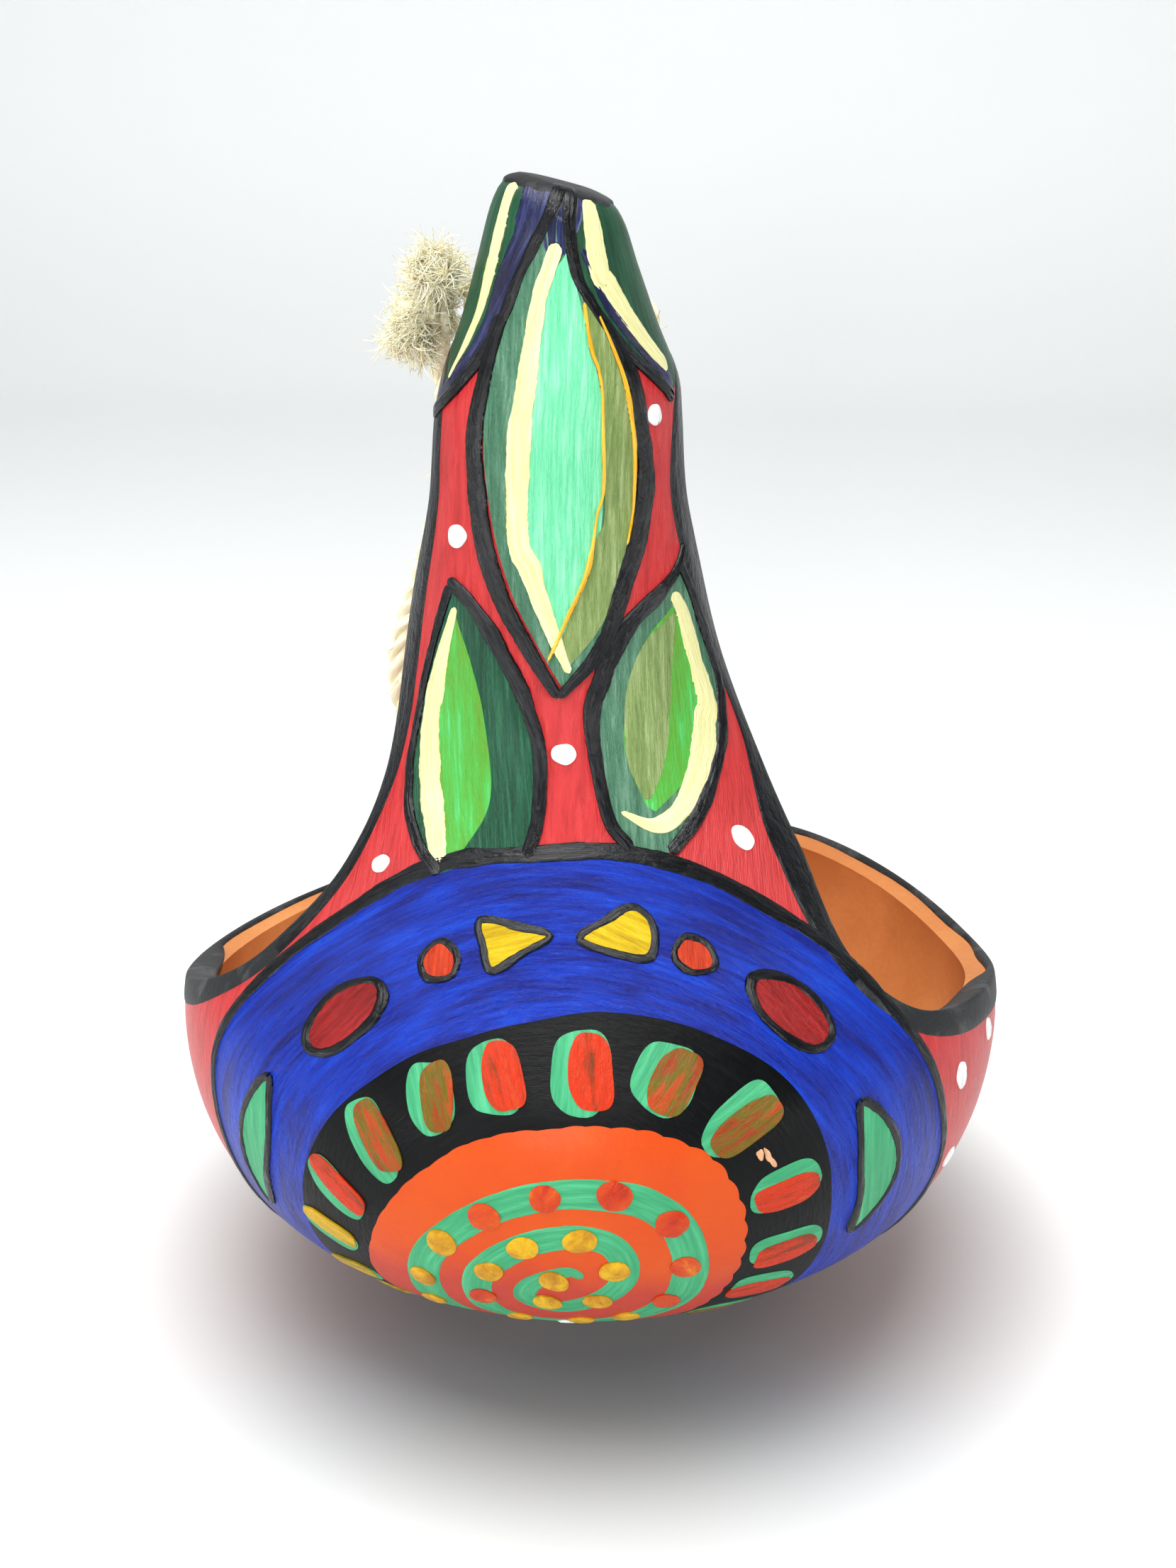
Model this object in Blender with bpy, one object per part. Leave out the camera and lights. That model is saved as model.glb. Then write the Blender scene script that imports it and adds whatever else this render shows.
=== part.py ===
"""Gourd bowl with an upright handle and a hanging loop of sisal rope.

One bottle gourd makes the bowl, the neck and the closed tip. An opening cut through its back and
sides leaves the front of the neck standing as a handle. A short sisal rope passes through a bore in
the tip and is knotted at its left end, with two loose tails. The painted front faces -Y.
"""

import math

import bmesh
import bpy
import numpy as np
from mathutils import Vector

# Gourd, metres
BOWL_RADIUS = 0.080
BELLY_HEIGHT = 0.050
FOOT_RADIUS = 0.024
HEIGHT = 0.2008
TIP_RADIUS = 0.0068
NECK_LEAN = -0.0062
TIP_TILT = math.radians(14.0)
TIP_TILT_START = 0.178
WALL = 0.0055
CAVITY_TOP = 0.190
BORE_HEIGHT = 0.180
BORE_BEHIND_AXIS = 0.0127
BORE_DIAMETER = 0.0058

# Rope, metres
ROPE_DIAMETER = 0.0046
LOOP_SETBACK = 0.031
LOOP_SETBACK_DEPTH = 0.050
KNOT_OUT = 0.0240
KNOT_SIZE = (0.0060, 0.0064, 0.0070)
ROPE_GAP = 0.0003

# Outline of the gourd from its foot to its tip: height, radius, sideways lean of the centre
OUTLINE = (
    (0.000, FOOT_RADIUS, 0.0),
    (0.0012, 0.033, 0.0),
    (0.005, 0.0472, 0.0),
    (0.012, 0.0620, 0.0),
    (0.021, 0.0720, 0.0),
    (0.034, 0.0783, 0.0),
    (BELLY_HEIGHT, BOWL_RADIUS, 0.0),
    (0.060, 0.0775, 0.0),
    (0.071, 0.0675, -0.0002),
    (0.084, 0.0512, -0.0011),
    (0.099, 0.0388, -0.0032),
    (0.118, 0.0307, -0.0053),
    (0.145, 0.0248, -0.0060),
    (0.162, 0.0225, -0.0060),
    (0.168, 0.0211, -0.0056),
    (0.178, 0.0172, -0.0057),
    (0.1875, 0.0141, -0.0058),
    (0.1965, 0.0112, -0.0056),
    (0.1995, 0.0092, -0.0055),
    (HEIGHT, TIP_RADIUS, -0.0055),
)

# Edge of the opening on the outer surface: degrees from the front towards +X, and height
OPENING = (
    (95, 0.167), (79, 0.150), (81, 0.132), (74, 0.108), (60, 0.088), (50, 0.074), (55, 0.065),
    (78, 0.058), (105, 0.051), (148, 0.056), (180, 0.054), (225, 0.046), (262, 0.048),
    (290, 0.058), (305, 0.070), (306, 0.090), (300, 0.110), (291, 0.130), (295, 0.150),
    (284, 0.167), (180, 0.170),
)
OPENING_CENTRE = (180, 0.105)
OPENING_INNER = 0.55
OPENING_OUTER = 1.35

# Rope loop from its left end round to its right end: along the bore, down from it
ROPE_PATH = (
    (-0.0225, 0.0000), (-0.0240, 0.0044), (-0.0240, 0.0100), (-0.0236, 0.0190), (-0.0248, 0.0350),
    (-0.0290, 0.0500), (-0.0334, 0.0630), (-0.0368, 0.0730), (-0.0376, 0.0820), (-0.0354, 0.0920),
    (-0.0275, 0.1020), (-0.0120, 0.1080), (0.0050, 0.1060), (0.0157, 0.0940), (0.0199, 0.0770),
    (0.0194, 0.0560), (0.0172, 0.0360), (0.0162, 0.0220), (0.0159, 0.0130), (0.0158, 0.0066),
    (0.0154, 0.0029), (0.0141, 0.0008), (0.0118, 0.0001), (0.0075, 0.0), (-0.0040, 0.0),
    (-0.0180, 0.0),
)

# Loose ends from the knot's surface outwards, relative to the middle of the bore
TAIL_UPPER = ((-0.0236, -0.0074, 0.0050), (-0.0232, -0.0110, 0.0070), (-0.0222, -0.0145, 0.0085))
TAIL_LOWER = ((-0.0286, -0.0046, -0.0062), (-0.0305, -0.0052, -0.0085), (-0.0315, -0.0056, -0.0140))

SEGMENTS = 72
OUTLINE_RINGS = 34
OPENING_POINTS = 110
OPENING_RINGS = 6


def clear_scene():
    for item in list(bpy.data.objects):
        bpy.data.objects.remove(item, do_unlink=True)


def painted(name, colour, roughness):
    material = bpy.data.materials.new(name)
    material.use_nodes = True
    shader = material.node_tree.nodes["Principled BSDF"]
    shader.inputs["Base Color"].default_value = (*colour, 1.0)
    shader.inputs["Roughness"].default_value = roughness
    shader.inputs["Metallic"].default_value = 0.0
    return material


def add_object(name, bm, material):
    mesh = bpy.data.meshes.new(name)
    bmesh.ops.recalc_face_normals(bm, faces=bm.faces)
    bm.to_mesh(mesh)
    bm.free()
    mesh.shade_smooth()
    mesh.set_sharp_from_angle(angle=math.radians(38))
    item = bpy.data.objects.new(name, mesh)
    bpy.context.collection.objects.link(item)
    if material:
        mesh.materials.append(material)
    return item


def spline(points, samples, closed=False):
    """Centripetal Catmull-Rom curve through the points, sampled evenly in its parameter."""
    points = np.array(points, float)
    if closed:
        points = np.vstack([points[-1], points, points[0], points[1]])
    else:
        first = 2 * points[0] - points[1]
        last = 2 * points[-1] - points[-2]
        points = np.vstack([first, points, last])
    knots = np.sqrt(np.linalg.norm(np.diff(points, axis=0), axis=1))
    knots = np.concatenate([[0.0], np.cumsum(knots)])
    curve = []
    for value in np.linspace(knots[1], knots[-2], samples, endpoint=not closed):
        k = min(int(np.searchsorted(knots, value, side="right")) - 1, len(points) - 3)
        k = max(k, 1)
        t0, t1, t2, t3 = knots[k - 1:k + 3]
        p0, p1, p2, p3 = points[k - 1:k + 3]
        a1 = (t1 - value) / (t1 - t0) * p0 + (value - t0) / (t1 - t0) * p1
        a2 = (t2 - value) / (t2 - t1) * p1 + (value - t1) / (t2 - t1) * p2
        a3 = (t3 - value) / (t3 - t2) * p2 + (value - t2) / (t3 - t2) * p3
        b1 = (t2 - value) / (t2 - t0) * a1 + (value - t0) / (t2 - t0) * a2
        b2 = (t3 - value) / (t3 - t1) * a2 + (value - t1) / (t3 - t1) * a3
        curve.append((t2 - value) / (t2 - t1) * b1 + (value - t1) / (t2 - t1) * b2)
    return np.array(curve)


FINE_OUTLINE = spline(OUTLINE, 600)


def radius_at(height):
    return float(np.interp(height, FINE_OUTLINE[:, 0], FINE_OUTLINE[:, 1]))


def lean_at(height):
    return float(np.interp(height, FINE_OUTLINE[:, 0], FINE_OUTLINE[:, 2]))


def tip_drop(across, height):
    """How far the tilted tip sinks at a distance to the right of the neck's centre."""
    share = min(max((height - TIP_TILT_START) / (HEIGHT - TIP_TILT_START), 0.0), 1.0)
    return share * share * across * math.tan(TIP_TILT)


def surface_point(angle, height, radius):
    """A point round the gourd's own centre line, by its angle from the front."""
    across = radius * math.sin(angle)
    return Vector((lean_at(height) + across, -radius * math.cos(angle), height - tip_drop(across, height)))


def turned_solid(rings):
    """A closed solid of revolution about the gourd's centre line, from (height, radius) rings."""
    bm = bmesh.new()
    loops = []
    for height, radius in rings:
        angles = [2 * math.pi * k / SEGMENTS for k in range(SEGMENTS)]
        loops.append([bm.verts.new(surface_point(a, height, radius)) for a in angles])
    for lower, upper in zip(loops, loops[1:]):
        for k in range(SEGMENTS):
            n = (k + 1) % SEGMENTS
            bm.faces.new((lower[k], lower[n], upper[n], upper[k]))
    for loop, (height, _) in ((loops[0], rings[0]), (loops[-1], rings[-1])):
        middle = bm.verts.new(surface_point(0.0, height, 0.0))
        for k in range(SEGMENTS):
            bm.faces.new((loop[k], loop[(k + 1) % SEGMENTS], middle))
    return bm


def outer_rings():
    steps = np.concatenate([[0.0], np.cumsum(np.linalg.norm(np.diff(FINE_OUTLINE[:, :2], axis=0), axis=1))])
    marks = np.linspace(0.0, steps[-1], OUTLINE_RINGS)
    heights = np.interp(marks, steps, FINE_OUTLINE[:, 0])
    return [(float(h), radius_at(h)) for h in heights]


def cavity_rings():
    """The outline moved inwards by the wall, with a flat floor and a closed top."""
    rings = [(WALL, FOOT_RADIUS)]
    outline = np.array(outer_rings())
    slopes = np.gradient(outline, axis=0)
    for (height, radius), (rise, spread) in zip(outline[1:], slopes[1:]):
        length = math.hypot(rise, spread)
        inner_height = height + WALL * spread / length
        inner_radius = radius - WALL * rise / length
        if rings[-1][0] + 0.0008 < inner_height < CAVITY_TOP:
            rings.append((inner_height, inner_radius))
    return rings


def opening_cutter():
    """A curved slab that follows the gourd's surface and is bounded by the opening's edge."""
    metres_per_degree = math.radians(0.045)
    flat = [(degrees * metres_per_degree, height) for degrees, height in OPENING]
    edge = spline(flat, OPENING_POINTS, closed=True)
    centre = np.array([OPENING_CENTRE[0] * metres_per_degree, OPENING_CENTRE[1]])
    bm = bmesh.new()
    layers = []
    for scale in (OPENING_INNER, OPENING_OUTER):
        rings = []
        for ring in range(1, OPENING_RINGS + 1):
            loop = []
            for point in centre + (edge - centre) * ring / OPENING_RINGS:
                angle = math.radians(point[0] / metres_per_degree)
                loop.append(bm.verts.new(surface_point(angle, point[1], scale * radius_at(point[1]))))
            rings.append(loop)
        angle = math.radians(OPENING_CENTRE[0])
        height = OPENING_CENTRE[1]
        middle = bm.verts.new(surface_point(angle, height, scale * radius_at(height)))
        layers.append((middle, rings))
    for middle, rings in layers:
        for k in range(OPENING_POINTS):
            bm.faces.new((middle, rings[0][k], rings[0][(k + 1) % OPENING_POINTS]))
    for middle, rings in layers:
        join_rings(bm, rings)
    join_rings(bm, [layers[0][1][-1], layers[1][1][-1]])
    return bm


def join_rings(bm, rings):
    for first, second in zip(rings, rings[1:]):
        count = len(first)
        for k in range(count):
            n = (k + 1) % count
            bm.faces.new((first[k], first[n], second[n], second[k]))


def bore_cutter():
    bm = bmesh.new()
    bmesh.ops.create_cone(bm, cap_ends=True, segments=32, radius1=BORE_DIAMETER / 2,
                          radius2=BORE_DIAMETER / 2, depth=0.08)
    bmesh.ops.rotate(bm, verts=bm.verts, cent=(0, 0, 0),
                     matrix=Vector((0, 0, 1)).rotation_difference(Vector((1, 0, 0))).to_matrix())
    bmesh.ops.translate(bm, verts=bm.verts, vec=(NECK_LEAN, BORE_BEHIND_AXIS, BORE_HEIGHT))
    return bm


def cut(item, name, bm):
    cutter = add_object(name, bm, None)
    cutter.hide_render = True
    cutter.display_type = "WIRE"
    modifier = item.modifiers.new(name, "BOOLEAN")
    modifier.operation = "DIFFERENCE"
    modifier.solver = "EXACT"
    modifier.object = cutter


def make_gourd():
    paint = painted("painted_gourd", (0.54, 0.035, 0.035), 0.35)
    shell = add_object("gourd_shell", turned_solid(outer_rings()), paint)
    cut(shell, "cavity_cutter", turned_solid(cavity_rings()))
    cut(shell, "opening_cutter", opening_cutter())
    cut(shell, "bore_cutter", bore_cutter())
    return shell


def loop_point(along, down):
    """A point of the rope loop, relative to the middle of the bore; the loop droops behind the neck."""
    behind = LOOP_SETBACK * (1.0 - math.exp(-down / LOOP_SETBACK_DEPTH))
    return Vector((along, behind, -down))


def make_rope_tube(name, points, diameter, material, parent):
    curve = bpy.data.curves.new(name, "CURVE")
    curve.dimensions = "3D"
    curve.bevel_depth = diameter / 2
    curve.bevel_resolution = 3
    curve.use_fill_caps = True
    line = curve.splines.new("POLY")
    line.points.add(len(points) - 1)
    for target, point in zip(line.points, points):
        target.co = (*point, 1.0)
    tube = bpy.data.objects.new(name, curve)
    bpy.context.collection.objects.link(tube)
    curve.materials.append(material)
    tube.parent = parent
    return tube


def make_rope_loop(material, parent):
    start_gap = KNOT_SIZE[0] + ROPE_GAP
    path = [loop_point(*p) for p in spline(ROPE_PATH, 160)]
    knot = Vector((-KNOT_OUT, 0.0, 0.0))
    path = [p for p in path if (p - knot).length > start_gap + ROPE_DIAMETER * 0.45]
    return make_rope_tube("rope_loop", path, ROPE_DIAMETER, material, parent)


def make_knot(material, parent):
    """The overhand knot as one body, ridged like wrapped rope."""
    bm = bmesh.new()
    bmesh.ops.create_uvsphere(bm, u_segments=40, v_segments=24, radius=1.0)
    for vert in bm.verts:
        turn = math.atan2(vert.co.y, vert.co.x)
        ridge = 1.0 + 0.07 * math.sin(3 * turn + 5 * vert.co.z) * (1.0 - abs(vert.co.z) ** 3)
        vert.co = Vector([c * s * ridge for c, s in zip(vert.co, KNOT_SIZE)])
        vert.co.x -= KNOT_OUT
    knot = add_object("rope_knot", bm, material)
    knot.parent = parent
    return knot


def make_tail(name, route, end_diameter, material, parent):
    """A loose rope end that bends from the knot and spreads towards its cut end."""
    bm = bmesh.new()
    rings = []
    steps = 12
    sides = 20
    start, middle, end = (Vector(point) for point in route)
    for k in range(steps + 1):
        s = k / steps
        centre = start * (1 - s) ** 2 + middle * 2 * s * (1 - s) + end * s * s
        heading = ((middle - start) * (1 - s) + (end - middle) * s).normalized()
        turn = Vector((0, 0, 1)).rotation_difference(heading)
        radius = (ROPE_DIAMETER + (end_diameter - ROPE_DIAMETER) * s * s) / 2
        angles = [2 * math.pi * j / sides for j in range(sides)]
        loop = [centre + turn @ Vector((radius * math.cos(a), radius * math.sin(a), 0)) for a in angles]
        rings.append([bm.verts.new(p) for p in loop])
    join_rings(bm, rings)
    bm.faces.new(rings[0])
    bm.faces.new(rings[-1])
    tail = add_object(name, bm, material)
    tail.parent = parent
    return tail


def make_rope():
    sisal = painted("sisal_rope", (0.72, 0.60, 0.40), 0.85)
    pivot = bpy.data.objects.new("loop_pivot", None)
    pivot.location = (NECK_LEAN, BORE_BEHIND_AXIS, BORE_HEIGHT)
    bpy.context.collection.objects.link(pivot)
    make_rope_loop(sisal, pivot)
    make_knot(sisal, pivot)
    make_tail("rope_tail_upper", TAIL_UPPER, 0.0074, sisal, pivot)
    make_tail("rope_tail_lower", TAIL_LOWER, 0.0090, sisal, pivot)


clear_scene()
make_gourd()
make_rope()
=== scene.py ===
"""Looks of the painted gourd bowl: gourd, layered acrylic paint, matte rim and sisal rope."""
import math
import random

import bmesh
import bpy
import numpy as np
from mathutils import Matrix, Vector
from mathutils.geometry import delaunay_2d_cdt


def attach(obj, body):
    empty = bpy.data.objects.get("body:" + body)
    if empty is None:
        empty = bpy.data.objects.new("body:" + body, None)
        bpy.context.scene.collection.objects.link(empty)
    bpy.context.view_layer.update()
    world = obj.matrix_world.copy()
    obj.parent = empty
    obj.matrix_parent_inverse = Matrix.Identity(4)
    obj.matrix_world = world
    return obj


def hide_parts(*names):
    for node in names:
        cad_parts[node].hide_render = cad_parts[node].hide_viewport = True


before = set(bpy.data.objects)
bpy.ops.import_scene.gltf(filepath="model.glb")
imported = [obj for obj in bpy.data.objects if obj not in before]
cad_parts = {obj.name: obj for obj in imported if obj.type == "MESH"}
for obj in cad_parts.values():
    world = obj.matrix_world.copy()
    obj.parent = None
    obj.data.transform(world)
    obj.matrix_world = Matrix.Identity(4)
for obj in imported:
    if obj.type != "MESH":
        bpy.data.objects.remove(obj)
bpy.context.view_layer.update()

MM = 0.001
# Every random draw starts from this number
SEED = 7

# ---------- The gourd's shape, as in the CAD, in metres ----------
# Height, radius and sideways lean of the outline
OUTLINE = (
    (0.000, 0.024, 0.0), (0.0012, 0.033, 0.0), (0.005, 0.0472, 0.0), (0.012, 0.0620, 0.0),
    (0.021, 0.0720, 0.0), (0.034, 0.0783, 0.0), (0.050, 0.0800, 0.0), (0.060, 0.0775, 0.0),
    (0.071, 0.0675, -0.0002), (0.084, 0.0512, -0.0011), (0.099, 0.0388, -0.0032),
    (0.118, 0.0307, -0.0053), (0.145, 0.0248, -0.0060), (0.162, 0.0225, -0.0060),
    (0.168, 0.0211, -0.0056), (0.178, 0.0172, -0.0057), (0.1875, 0.0141, -0.0058),
    (0.1965, 0.0112, -0.0056), (0.1995, 0.0092, -0.0055), (0.2008, 0.0068, -0.0055),
)
HEIGHT = OUTLINE[-1][0]
WALL = 0.0055
FOOT_RADIUS = OUTLINE[0][1]
CAVITY_TOP = 0.190
# The tip's flat end slopes down by this angle, and the slope fades out below this height
TIP_TILT = math.radians(14.0)
TIP_TILT_START = 0.178
BORE = (-0.0062, 0.0127, 0.180)
BORE_DIAMETER = 0.0058

# Edge of the opening: degrees from the front towards +X, height, and the width of the black
# band on the outside and on the inside, in millimetres
OPENING = (
    (95, 167, 4.0, 2), (79, 150, 7.0, 2), (81, 132, 7.5, 2), (74, 108, 3.2, 2), (60, 88, 6.5, 2),
    (50, 74, 4.0, 2), (55, 65, 4.2, 2), (78, 58, 5.0, 2), (105, 51, 5.0, 2), (148, 56, 5.0, 2),
    (180, 54, 5.0, 2), (225, 46, 5.0, 2), (262, 48, 4.5, 2), (290, 58, 4.5, 2), (305, 70, 4.0, 2),
    (306, 90, 2.6, 2), (300, 110, 5.0, 2), (291, 130, 6.5, 2), (295, 150, 4.0, 2),
    (284, 167, 4.0, 2), (180, 170, 4.0, 2),
)
# A place inside the opening, in degrees and millimetres
OPENING_CENTRE = (180, 105)


def spline(points, samples, closed=False):
    """Centripetal Catmull-Rom curve through the points, sampled evenly in its parameter."""
    points = np.array(points, float)
    if closed:
        points = np.vstack([points[-1], points, points[0], points[1]])
    else:
        points = np.vstack([2 * points[0] - points[1], points, 2 * points[-1] - points[-2]])
    knots = np.sqrt(np.linalg.norm(np.diff(points, axis=0), axis=1))
    knots = np.concatenate([[0.0], np.cumsum(knots)])
    values = np.linspace(knots[1], knots[-2], samples, endpoint=not closed)
    k = np.clip(np.searchsorted(knots, values, side="right") - 1, 1, len(points) - 3)
    t0, t1, t2, t3 = (knots[k + n][:, None] for n in (-1, 0, 1, 2))
    p0, p1, p2, p3 = (points[k + n] for n in (-1, 0, 1, 2))
    t = values[:, None]
    a1 = (t1 - t) / (t1 - t0) * p0 + (t - t0) / (t1 - t0) * p1
    a2 = (t2 - t) / (t2 - t1) * p1 + (t - t1) / (t2 - t1) * p2
    a3 = (t3 - t) / (t3 - t2) * p2 + (t - t2) / (t3 - t2) * p3
    b1 = (t2 - t) / (t2 - t0) * a1 + (t - t0) / (t2 - t0) * a2
    b2 = (t3 - t) / (t3 - t1) * a2 + (t - t1) / (t3 - t1) * a3
    return (t2 - t) / (t2 - t1) * b1 + (t - t1) / (t2 - t1) * b2


def lengths_along(points):
    """The distance from the first point to each point, along the line."""
    return np.concatenate([[0.0], np.cumsum(np.linalg.norm(np.diff(points, axis=0), axis=1))])


FINE = spline(OUTLINE, 900)
SLOPE = np.gradient(FINE[:, 1], FINE[:, 0])
ARC = lengths_along(FINE[:, :2])


def radius_at(height):
    """The outline's radius at a height."""
    return np.interp(height, FINE[:, 0], FINE[:, 1])


def slope_at(height):
    """How fast the radius grows with the height."""
    return np.interp(height, FINE[:, 0], SLOPE)


def arc_at(height):
    """The distance up the outline at a height."""
    return np.interp(height, FINE[:, 0], ARC)


def height_at(arc):
    """The height at a distance up the outline."""
    return np.interp(arc, ARC, FINE[:, 0])


def lean_at(height):
    """How far the outline's middle stands to the right at a height."""
    return np.interp(height, FINE[:, 0], FINE[:, 2])


def tilt_drop(across, height):
    """How far the tip's slope lowers a point that lies across from the middle at a height."""
    share = np.clip((height - TIP_TILT_START) / (HEIGHT - TIP_TILT_START), 0, 1)
    return share * share * across * math.tan(TIP_TILT)


def frames_at(angle, height):
    """Unit vectors round the gourd, up its outline, and out of its surface."""
    sine, cosine = np.sin(angle), np.cos(angle)
    slope = slope_at(height)
    length = np.sqrt(1 + slope * slope)
    zero = np.zeros_like(sine)
    around = np.stack([cosine, sine, zero], -1)
    up = np.stack([slope * sine, -slope * cosine, zero + 1], -1) / length[..., None]
    out = np.stack([sine, -cosine, -slope], -1) / length[..., None]
    return around, up, out


def surface(angle, height, lift=0.0):
    """Points on the gourd, or lifted off it along its normal, with its slight unevenness."""
    angle = np.asarray(angle, float)
    height = np.asarray(height, float)
    uneven = 0.00022 * np.sin(3 * angle + 1.0) * np.sin(height / 0.021)
    uneven = uneven + 0.00014 * np.sin(5 * angle + 2.2 + height / 0.017)
    radius = radius_at(height) + uneven * np.clip(height / 0.01, 0, 1)
    across = radius * np.sin(angle)
    drop = tilt_drop(across, height)
    points = np.stack([lean_at(height) + across, -radius * np.cos(angle), height - drop], -1)
    return points + frames_at(angle, height)[2] * np.asarray(lift)[..., None]


def step_on_surface(angle, height, along, up):
    """Moves chart positions by distances round the gourd and up its outline."""
    new_height = height_at(arc_at(height) + up)
    radius = np.maximum(radius_at((height + new_height) / 2), 0.004)
    return angle + along / radius, new_height


# ---------- Two ways to place paint: neck() by angle and height, ring() round the spiral ----------
# Chart positions are (radians round the gourd from the front, metres up)
SPIRAL_AZIMUTH = math.radians(1.0)
SPIRAL_RISE = math.radians(-5.5)
BOWL_MIDDLE = 0.040
BOWL_RADIUS = 0.080
RISES = np.arctan2(FINE[:, 0] - BOWL_MIDDLE, FINE[:, 1])


def neck(points):
    """(degrees, millimetres) to chart positions."""
    points = np.array(points, float)
    return np.stack([np.radians(points[:, 0]), points[:, 1] * MM], -1)


def ring(points):
    """(degrees round the spiral from straight up, degrees out from it) to chart positions."""
    points = np.radians(np.array(points, float))
    turn, out = points[:, 0], points[:, 1]
    ahead = np.cos(out)
    right = np.sin(out) * np.sin(turn)
    up = np.sin(out) * np.cos(turn)
    forward = ahead * math.cos(SPIRAL_RISE) - up * math.sin(SPIRAL_RISE)
    rise = ahead * math.sin(SPIRAL_RISE) + up * math.cos(SPIRAL_RISE)
    azimuth = np.arctan2(right, forward) + SPIRAL_AZIMUTH
    elevation = np.arcsin(np.clip(rise, -1, 1))
    return np.stack([azimuth, np.interp(elevation, RISES, FINE[:, 0])], -1)


def ring_inverse(chart):
    """Chart positions to (radians round the spiral, metres out from it)."""
    azimuth = chart[:, 0] - SPIRAL_AZIMUTH
    elevation = np.interp(chart[:, 1], FINE[:, 0], RISES)
    forward = np.cos(elevation) * np.cos(azimuth)
    right = np.cos(elevation) * np.sin(azimuth)
    rise = np.sin(elevation)
    ahead = forward * math.cos(SPIRAL_RISE) + rise * math.sin(SPIRAL_RISE)
    up = rise * math.cos(SPIRAL_RISE) - forward * math.sin(SPIRAL_RISE)
    return np.arctan2(right, up), BOWL_RADIUS * np.arccos(np.clip(ahead, -1, 1))


# ---------- Meshes ----------
def linked(name, data):
    """A new object in the scene's collection."""
    item = bpy.data.objects.new(name, data)
    bpy.context.collection.objects.link(item)
    return item


def new_mesh(name, points, faces):
    """A mesh from arrays or tuples of points and faces."""
    mesh = bpy.data.meshes.new(name)
    mesh.from_pydata([tuple(p) for p in points], [], [tuple(f) for f in faces])
    return mesh


def turn_outwards(mesh):
    """Turns the faces of a closed mesh outwards."""
    bm = bmesh.new()
    bm.from_mesh(mesh)
    bmesh.ops.recalc_face_normals(bm, faces=bm.faces)
    bm.to_mesh(mesh)
    bm.free()


def new_object(name, points, faces, paints, body="gourd"):
    """A smooth visible piece in the named paints, riding on a body of the CAD."""
    mesh = new_mesh(name, points, faces)
    mesh.validate()
    mesh.shade_smooth()
    item = linked(name, mesh)
    for paint in paints:
        mesh.materials.append(PAINT[paint])
    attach(item, body)
    return item


def add_brush(item, along, across, layer=0.0):
    """Stores where each point lies along and across the brush strokes, in millimetres."""
    data = item.data.attributes.new("brush", "FLOAT_VECTOR", "POINT")
    values = np.stack([along / MM, across / MM, np.full(len(along), layer)], -1)
    data.data.foreach_set("vector", values.astype(np.float32).ravel())


def grid_faces(rows, columns, wrap_rows=False, wrap_columns=False):
    """Four-sided faces between the points of a grid, whose last row or column may join its first."""
    faces = []
    for r in range(rows if wrap_rows else rows - 1):
        for c in range(columns if wrap_columns else columns - 1):
            r2, c2 = (r + 1) % rows, (c + 1) % columns
            faces.append((r * columns + c, r * columns + c2, r2 * columns + c2, r2 * columns + c))
    return faces


def plane_of(chart):
    """Chart positions laid nearly flat, in millimetres."""
    middle = radius_at(chart[:, 1].mean())
    return np.stack([chart[:, 0] * middle, arc_at(chart[:, 1])], -1) / MM, middle


def inside(points, polygon):
    """Which flat points lie inside a polygon."""
    result = np.zeros(len(points), bool)
    x, y = points[:, 0], points[:, 1]
    for (x1, y1), (x2, y2) in zip(polygon, np.roll(polygon, -1, 0)):
        if y1 != y2:
            crosses = ((y1 > y) != (y2 > y)) & (x < (x2 - x1) * (y - y1) / (y2 - y1) + x1)
            result ^= crosses
    return result


def distance_to(points, polygon):
    """How far each flat point lies from a polygon's edge."""
    best = np.full(len(points), 1e9)
    for a, b in zip(polygon, np.roll(polygon, -1, 0)):
        along = b - a
        share = np.clip(((points - a) @ along) / max(along @ along, 1e-12), 0, 1)
        best = np.minimum(best, np.linalg.norm(points - a - share[:, None] * along, axis=1))
    return best


# Each layer of paint lies this much above the one below it, and the lowest this much above the
# gourd, in millimetres
LAYER = 0.06
LIFT = 0.08


def skirted(points, faces, foot):
    """Adds a wall from the sheet's edge down to the foot points, so paint has a thickness."""
    edges = {}
    for face in faces:
        for a, b in zip(face, face[1:] + face[:1]):
            edges[(a, b)] = (b, a) in edges or edges.get((a, b))
            if (b, a) in edges:
                edges[(b, a)] = True
                edges[(a, b)] = True
    rim = [edge for edge, shared in edges.items() if not shared]
    used = sorted({v for edge in rim for v in edge})
    place = {v: k for k, v in enumerate(used)}
    base, count = len(points), len(used)
    walls = [(base + place[b], base + place[a], base + count + place[a], base + count + place[b]) for a,
             b in rim]
    return np.vstack([points, points[used], foot[used]]), [tuple(f) for f in faces] + walls, used


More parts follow.
